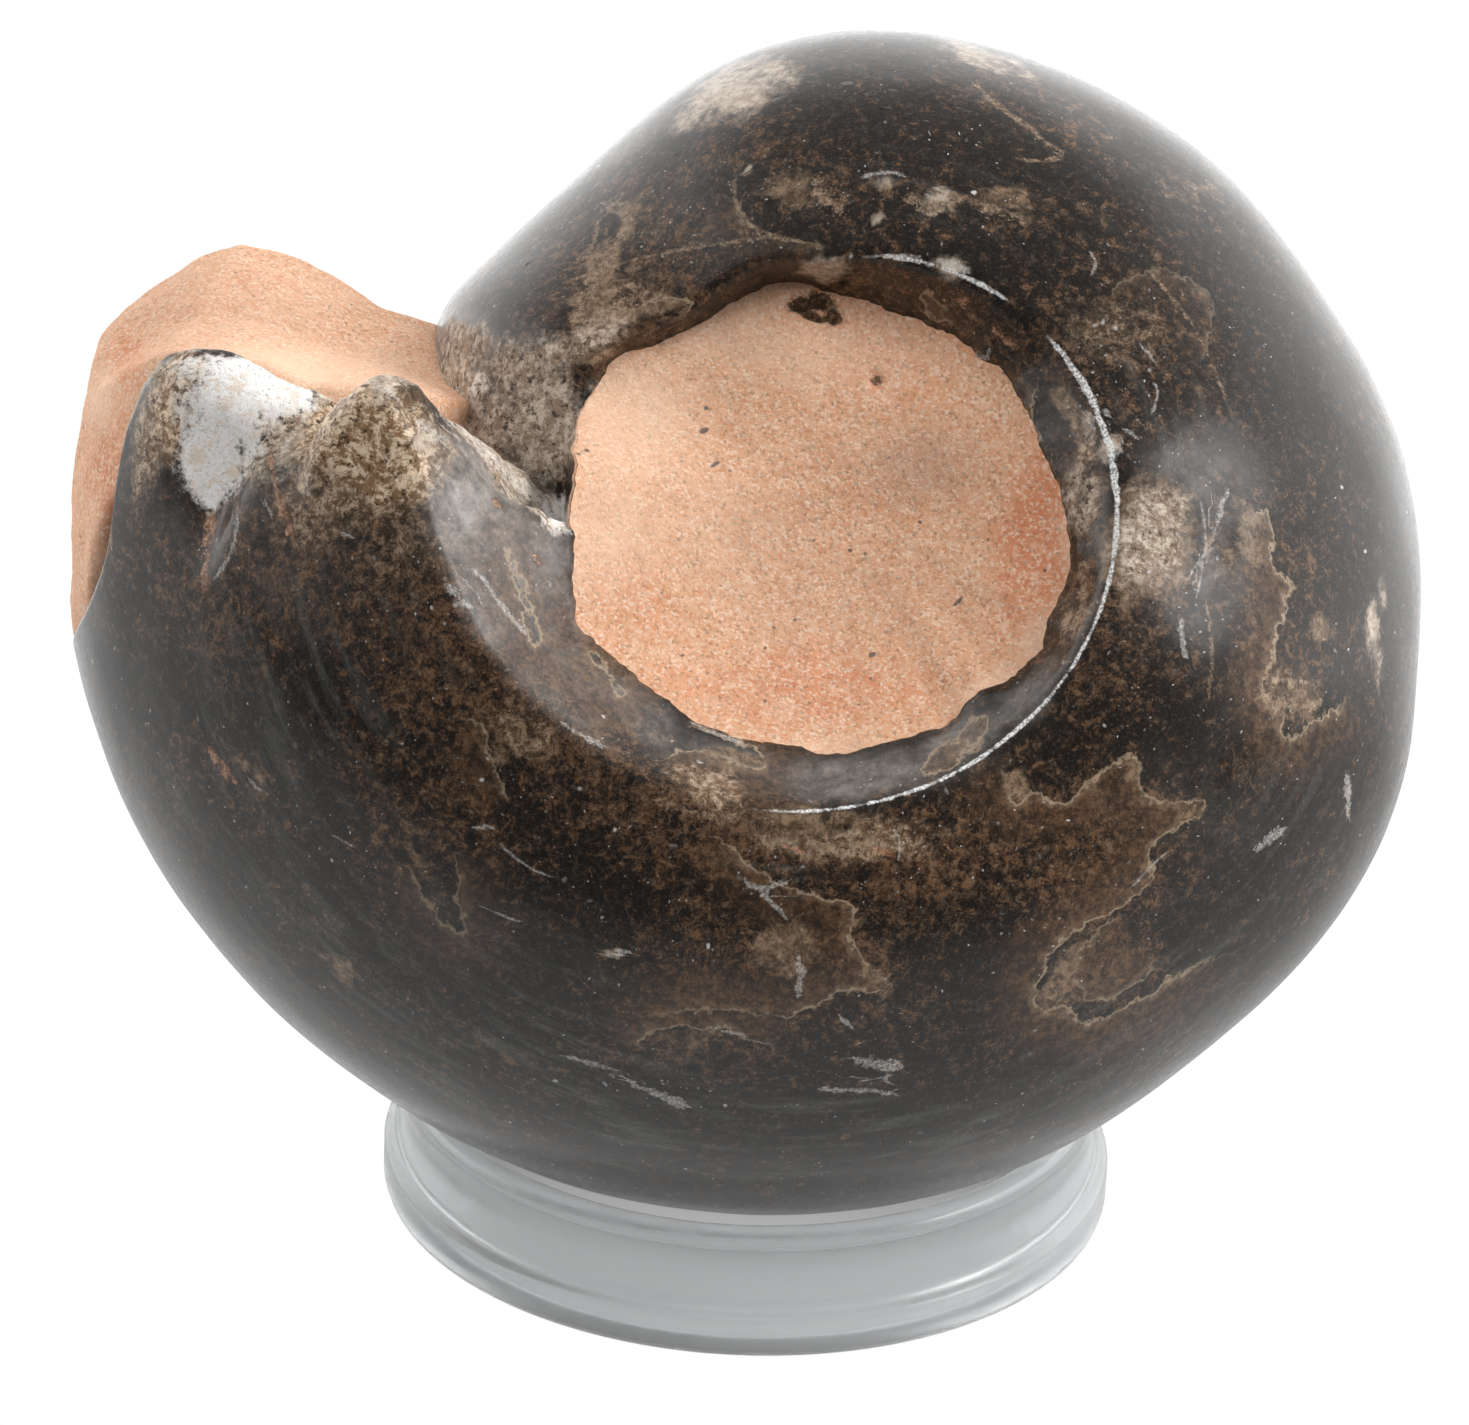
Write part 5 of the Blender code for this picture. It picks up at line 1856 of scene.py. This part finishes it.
@dataclass
class ChamberSandstone(Stone):
    """The sandstone left in the broken last chamber, pressed outwards from its middle against its limits."""

    top: Table = ((27, 24.0), (30.5, 23.0), (33, 24.2), (36, 24.2), (39.7, 22.8), (41.5, 20.5), (42.7, 18.2),
                  (44, 15.9), (45.3, 13.2), (46.5, 10))
    fall: Table = ((-24, 40), (-20, 15), (-16, 14), (-9, 9), (-5, 3), (-2, 0), (2, 0), (20, 5),
                   (27, 13), (31, 20))
    last_turn: float = 350
    heart: tuple[float, float, float] = (4.0, 36.0, 3.0)
    start: Table = ((-20, 2), (-12, -6), (-6, -16), (27, -16))
    inner: Table = ((-20, 26), (-12, 22), (16, 21), (24, 25.5))
    recess: float = 0.35
    columns: int = 260
    rows: int = 180
    reach: float = 40.0
    steps: int = 160
    halvings: int = 12
    wear: int = 5
    skin: Table = ((0.25, 5.0, 3.0), (0.10, 1.6, 6.0), (0.04, 0.6, 8.0))
    red: tuple[Spot, ...] = spots((110, 480, 30, 90, 0, 0.6), (230, 290, 90, 40, -10, 0.35),
                                  (130, 360, 20, 30, 0, 0.6))
    cream: tuple[Spot, ...] = spots((290, 370, 110, 24, 0, 0.75), (250, 300, 90, 40, 0, 0.25),
                                    (100, 400, 16, 30, 0, 0.7), (95, 540, 10, 50, 0, 0.5),
                                    (420, 375, 50, 24, 0, 0.3))

    def inside(self, turn: Array, radius: Array, depth: Array) -> Array:
        """Whether places round the coil lie in the chamber's sandstone.

        Args:
            turn: Degrees round the coil.
            radius: Mm from its axis.
            depth: Mm from its middle plane.

        Returns:
            True where they do.
        """
        grown = np.minimum(turn + 360, self.last_turn)
        widest = self.law.half_width_share * self.law.venter_radius(grown) - self.recess
        edge = self.law.flank_arc(grown, np.full(turn.shape, self.law.flank_angle))[..., 0]
        wall = np.maximum(0.0, edge - radius)
        share = np.clip(depth / widest, -1, 1)
        place = np.degrees(np.arcsin(share * math.sin(math.radians(self.law.flank_angle))))
        outer = self.law.flank_arc(grown, place)[..., 0] - self.recess
        tables = (radius, self.top), (depth, self.fall), (depth, self.start), (depth, self.inner)
        top, fall, first, inner = (np.interp(at, column(table, 0), column(table, 1)) for at, table in tables)
        return ((np.abs(depth) < widest - wall) & (turn >= first) & (radius >= inner) & (radius <= outer)
                & (turn < top - fall))

    def local(self, turn: float, radius: float, depth: float) -> Array:
        """A place round the coil as a point on the coil's own axes, in mm."""
        angle = math.radians(turn)
        return np.array([-radius * math.cos(angle), depth, radius * math.sin(angle)])

    def inside_at(self, points: Array) -> Array:
        """Whether points on the coil's own axes lie in the sandstone."""
        turn = np.degrees(np.arctan2(points[:, 2], -points[:, 0]))
        return self.inside(turn, np.hypot(points[:, 0], points[:, 2]), points[:, 1])

    def press(self, directions: Array) -> Array:
        """How far the sandstone reaches from its middle.

        Args:
            directions: Unit directions on the coil's own axes.

        Returns:
            The reach along each, in mm.
        """
        heart = self.local(*self.heart)
        step = self.reach / self.steps
        distance = np.zeros(len(directions))
        going = np.ones(len(directions), bool)
        for _ in range(self.steps):
            ahead = heart + directions * (distance + step)[:, None]
            going &= self.inside_at(ahead)
            distance += step * going
        low, high = distance, distance + step
        for _ in range(self.halvings):
            middle = (low + high) / 2
            held = self.inside_at(heart + directions * middle[:, None])
            low, high = np.where(held, middle, low), np.where(held, high, middle)
        return low

    def build(self) -> bpy.types.Object:
        """Returns:
            The sandstone.
        """
        piece = sphere_piece("chamber_stone", self.columns, self.rows, self.material)
        directions = read_points(piece.data) * MM
        directions /= np.linalg.norm(directions, axis=1)[:, None]
        local = self.local(*self.heart) + directions * self.press(directions)[:, None]
        turn = np.degrees(np.arctan2(local[:, 2], -local[:, 0]))
        write_points(piece.data, self.standing.world(turn, np.hypot(local[:, 0], local[:, 2]), local[:, 1]))
        worn = piece.modifiers.new("worn", "SMOOTH")
        worn.factor = 0.5
        worn.iterations = self.wear
        bpy.ops.object.modifier_apply(modifier="worn")
        self.weather(piece)
        finish_piece(piece, "chamber_sandstone")
        return piece

    def weather(self, piece: bpy.types.Object) -> None:
        """Roughens the sandstone and stores its patches.

        Args:
            piece: The sandstone.
        """
        mesh = piece.data
        points, normals, pixels = self.surface(piece)
        write_points(mesh, points + normals * self.roughened(points, self.skin)[:, None])
        store(mesh, "red", patches(pixels, self.red))
        store(mesh, "cream", patches(pixels, self.cream))
        store(mesh, "grey", 0.10 + 0.25 * rise(rough(points, 6.0, 21.0), 0.1, 0.6))
        for name in ("pit", "marks"):
            store(mesh, name, np.zeros(len(points)))


@dataclass
class RingStand:
    """The clear ring that the fossil leans back in, spun from its profile."""

    material: bpy.types.Material
    profile: Table = ((20.3, 7.8), (20.9, 7.6), (21.2, 7.25), (21.3, 6.9), (21.15, 6.65), (21.0, 6.5),
                      (21.15, 5.2),
                      (21.35, 3.6), (21.5, 3.0), (21.85, 2.72), (22.12, 2.6), (22.25, 2.35), (22.25, 0.45),
                      (22.15, 0.12), (21.9, 0.0), (18.9, 0.0), (18.6, 0.12), (18.5, 0.4), (18.5, 6.1),
                      (18.6, 6.4),
                      (18.9, 6.7), (19.8, 7.55), (20.05, 7.74))
    steps: int = 192

    def build(self) -> bpy.types.Object:
        """Returns:
            The ring.
        """
        centre = Standing().ring_centre()
        bpy.ops.object.select_all(action="DESELECT")
        bpy.ops.mesh.primitive_circle_add(vertices=len(self.profile), radius=1.0, fill_type="NOTHING")
        piece = bpy.context.active_object
        piece.name = "clear_ring"
        piece.data.name = "clear_ring"
        for vertex, (radius, height) in zip(piece.data.vertices, self.profile):
            vertex.co = (Vector((centre[0] + radius, centre[1], centre[2] + height))) * MM
        bpy.ops.object.mode_set(mode="EDIT")
        bpy.ops.mesh.select_all(action="SELECT")
        bpy.ops.mesh.spin(steps=self.steps, angle=2 * math.pi, center=Vector(centre) * MM, axis=(0, 0, 1))
        bpy.ops.mesh.select_all(action="SELECT")
        bpy.ops.mesh.remove_doubles(threshold=0.01 * MM)
        bpy.ops.mesh.normals_make_consistent(inside=False)
        bpy.ops.object.mode_set(mode="OBJECT")
        piece.data.materials.append(self.material)
        finish_piece(piece, "ring_stand")
        return piece


@dataclass
class Studio:
    """A white floor that darkens towards the viewer, a bright surround behind, and a soft key at the right."""

    floor_size: float = 6.0
    floor_height: float = -0.00005
    white: Colour = (1.0, 1.0, 1.0)
    aim: tuple[float, float, float] = (0.0, 0.0, 0.04)
    behind: float = 1.9
    viewer_side: float = 0.13
    overhead: float = 0.22
    camera_white: float = 1.05
    seen_through: float = 0.72
    near_floor: float = 0.80
    under_ring: float = 0.24
    under_front: float = 0.66
    key_power: float = 3.2
    key_size: float = 0.34
    key_place: tuple[float, float, float] = (0.66, -0.10, 0.44)
    window_power: float = 0.55
    window_size: float = 0.26
    window_place: tuple[float, float, float] = (0.60, -0.16, 0.50)
    fill_power: float = 2.7
    fill_size: float = 0.8
    fill_place: tuple[float, float, float] = (0.10, -0.35, 0.85)

    def shown(self, graph: Graph, level: Value) -> Value:
        """The strength of the studio's light, with plain white where the camera looks straight at it.

        Args:
            graph: The floor's or the surround's graph.
            level: The strength that lights the object.

        Returns:
            The strength for every kind of ray.
        """
        path = graph.node("ShaderNodeLightPath")
        seen = Value(graph, path.outputs["Is Camera Ray"])
        through = Value(graph, path.outputs["Is Transmission Ray"])
        return (seen * self.camera_white).larger(level.larger(through * self.seen_through) * (1.0 - seen))

    def floor(self) -> None:
        """Lays the floor: plain white where the camera sees it, shaded in the ring, and darker in front."""
        bpy.ops.object.select_all(action="DESELECT")
        bpy.ops.mesh.primitive_plane_add(size=self.floor_size, location=(0, 0, self.floor_height))
        plane = bpy.context.active_object
        plane.name = "pale_floor"
        made = bpy.data.materials.new("pale_floor")
        made.use_nodes = True
        graph = Graph(made.node_tree)
        graph.tree.nodes.clear()
        place = graph.place()
        _, along, _ = graph.parts("ShaderNodeSeparateXYZ", place)
        level = along.step(-0.15, -0.045).spread(0, 1, self.viewer_side, self.near_floor)
        level = level + along.step(0.02, 0.16) * (self.behind - self.near_floor)
        centre = Vector(Standing().ring_centre()) * MM
        away = graph.value("ShaderNodeVectorMath", {0: place, 1: centre}, "Value", operation="DISTANCE")
        # Painted shadow: inside the ring the floor glows dimmer, dimmest at the back.
        inner = along.spread(0.004, -0.019, self.under_ring, self.under_front)
        outside = away.step(0.0205, 0.0225)
        shade = outside + (1.0 - outside) * inner
        strength = self.shown(graph, level) * shade
        glow = graph.value("ShaderNodeEmission", {"Color": self.white, "Strength": strength})
        graph.node("ShaderNodeOutputMaterial", {"Surface": glow})
        plane.data.materials.append(made)

    def world(self) -> None:
        """Makes the surround: bright behind and at the sides, and dim on the viewer's side."""
        world = bpy.data.worlds.new("soft_surround")
        world.use_nodes = True
        bpy.context.scene.world = world
        graph = Graph(world.node_tree)
        background = world.node_tree.nodes["Background"]
        direction = graph.value("ShaderNodeTexCoord", output="Generated")
        _, along, up = graph.parts("ShaderNodeSeparateXYZ", direction)
        level = along.step(-0.90, 0.25).spread(0, 1, self.viewer_side, self.behind)
        level = level * up.step(0.45, 0.95).spread(0, 1, 1.0, self.overhead)
        self.shown(graph, level).feed(background.inputs["Strength"])
        background.inputs["Color"].default_value = (*self.white, 1.0)

    def lamp(self, name: str, power: float, size: float, place: tuple[float, float, float]) -> bpy.types.Object:
        """Hangs a soft square lamp aimed at the object.

        Args:
            name: The lamp's name.
            power: Its power in watts.
            size: Its side in metres.
            place: Where it hangs, in metres.

        Returns:
            The lamp.
        """
        data = bpy.data.lights.new(name, "AREA")
        data.energy = power
        data.size = size
        lamp = bpy.data.objects.new(name, data)
        bpy.context.scene.collection.objects.link(lamp)
        lamp.location = place
        lamp.rotation_euler = (Vector(self.aim) - Vector(place)).to_track_quat("-Z", "Y").to_euler()
        return lamp

    def build(self) -> None:
        """Sets the stage."""
        self.floor()
        self.world()
        self.lamp("soft_key", self.key_power, self.key_size, self.key_place).visible_glossy = False
        self.lamp("soft_window", self.window_power, self.window_size, self.window_place)
        self.lamp("soft_fill", self.fill_power, self.fill_size, self.fill_place).visible_glossy = False
        bpy.context.scene.view_settings.view_transform = "Standard"
        log.info("studio: floor, surround, key, window and fill")


def main() -> None:
    """Builds the camera, the studio and every piece, in order."""
    logging.basicConfig(level=logging.INFO, format="%(name)s: %(message)s")
    PhotoView().place_camera()
    Studio().build()
    calcite = PolishedCalcite().build()
    sandstone = OrangeSandstone().build()
    AmmoniteCoil(calcite).build()
    for side in Side:
        SandstonePlug(sandstone, side=side).build()
    ChamberSandstone(sandstone).build()
    RingStand(ClearAcrylic().build()).build()


if __name__ == "__main__":
    main()
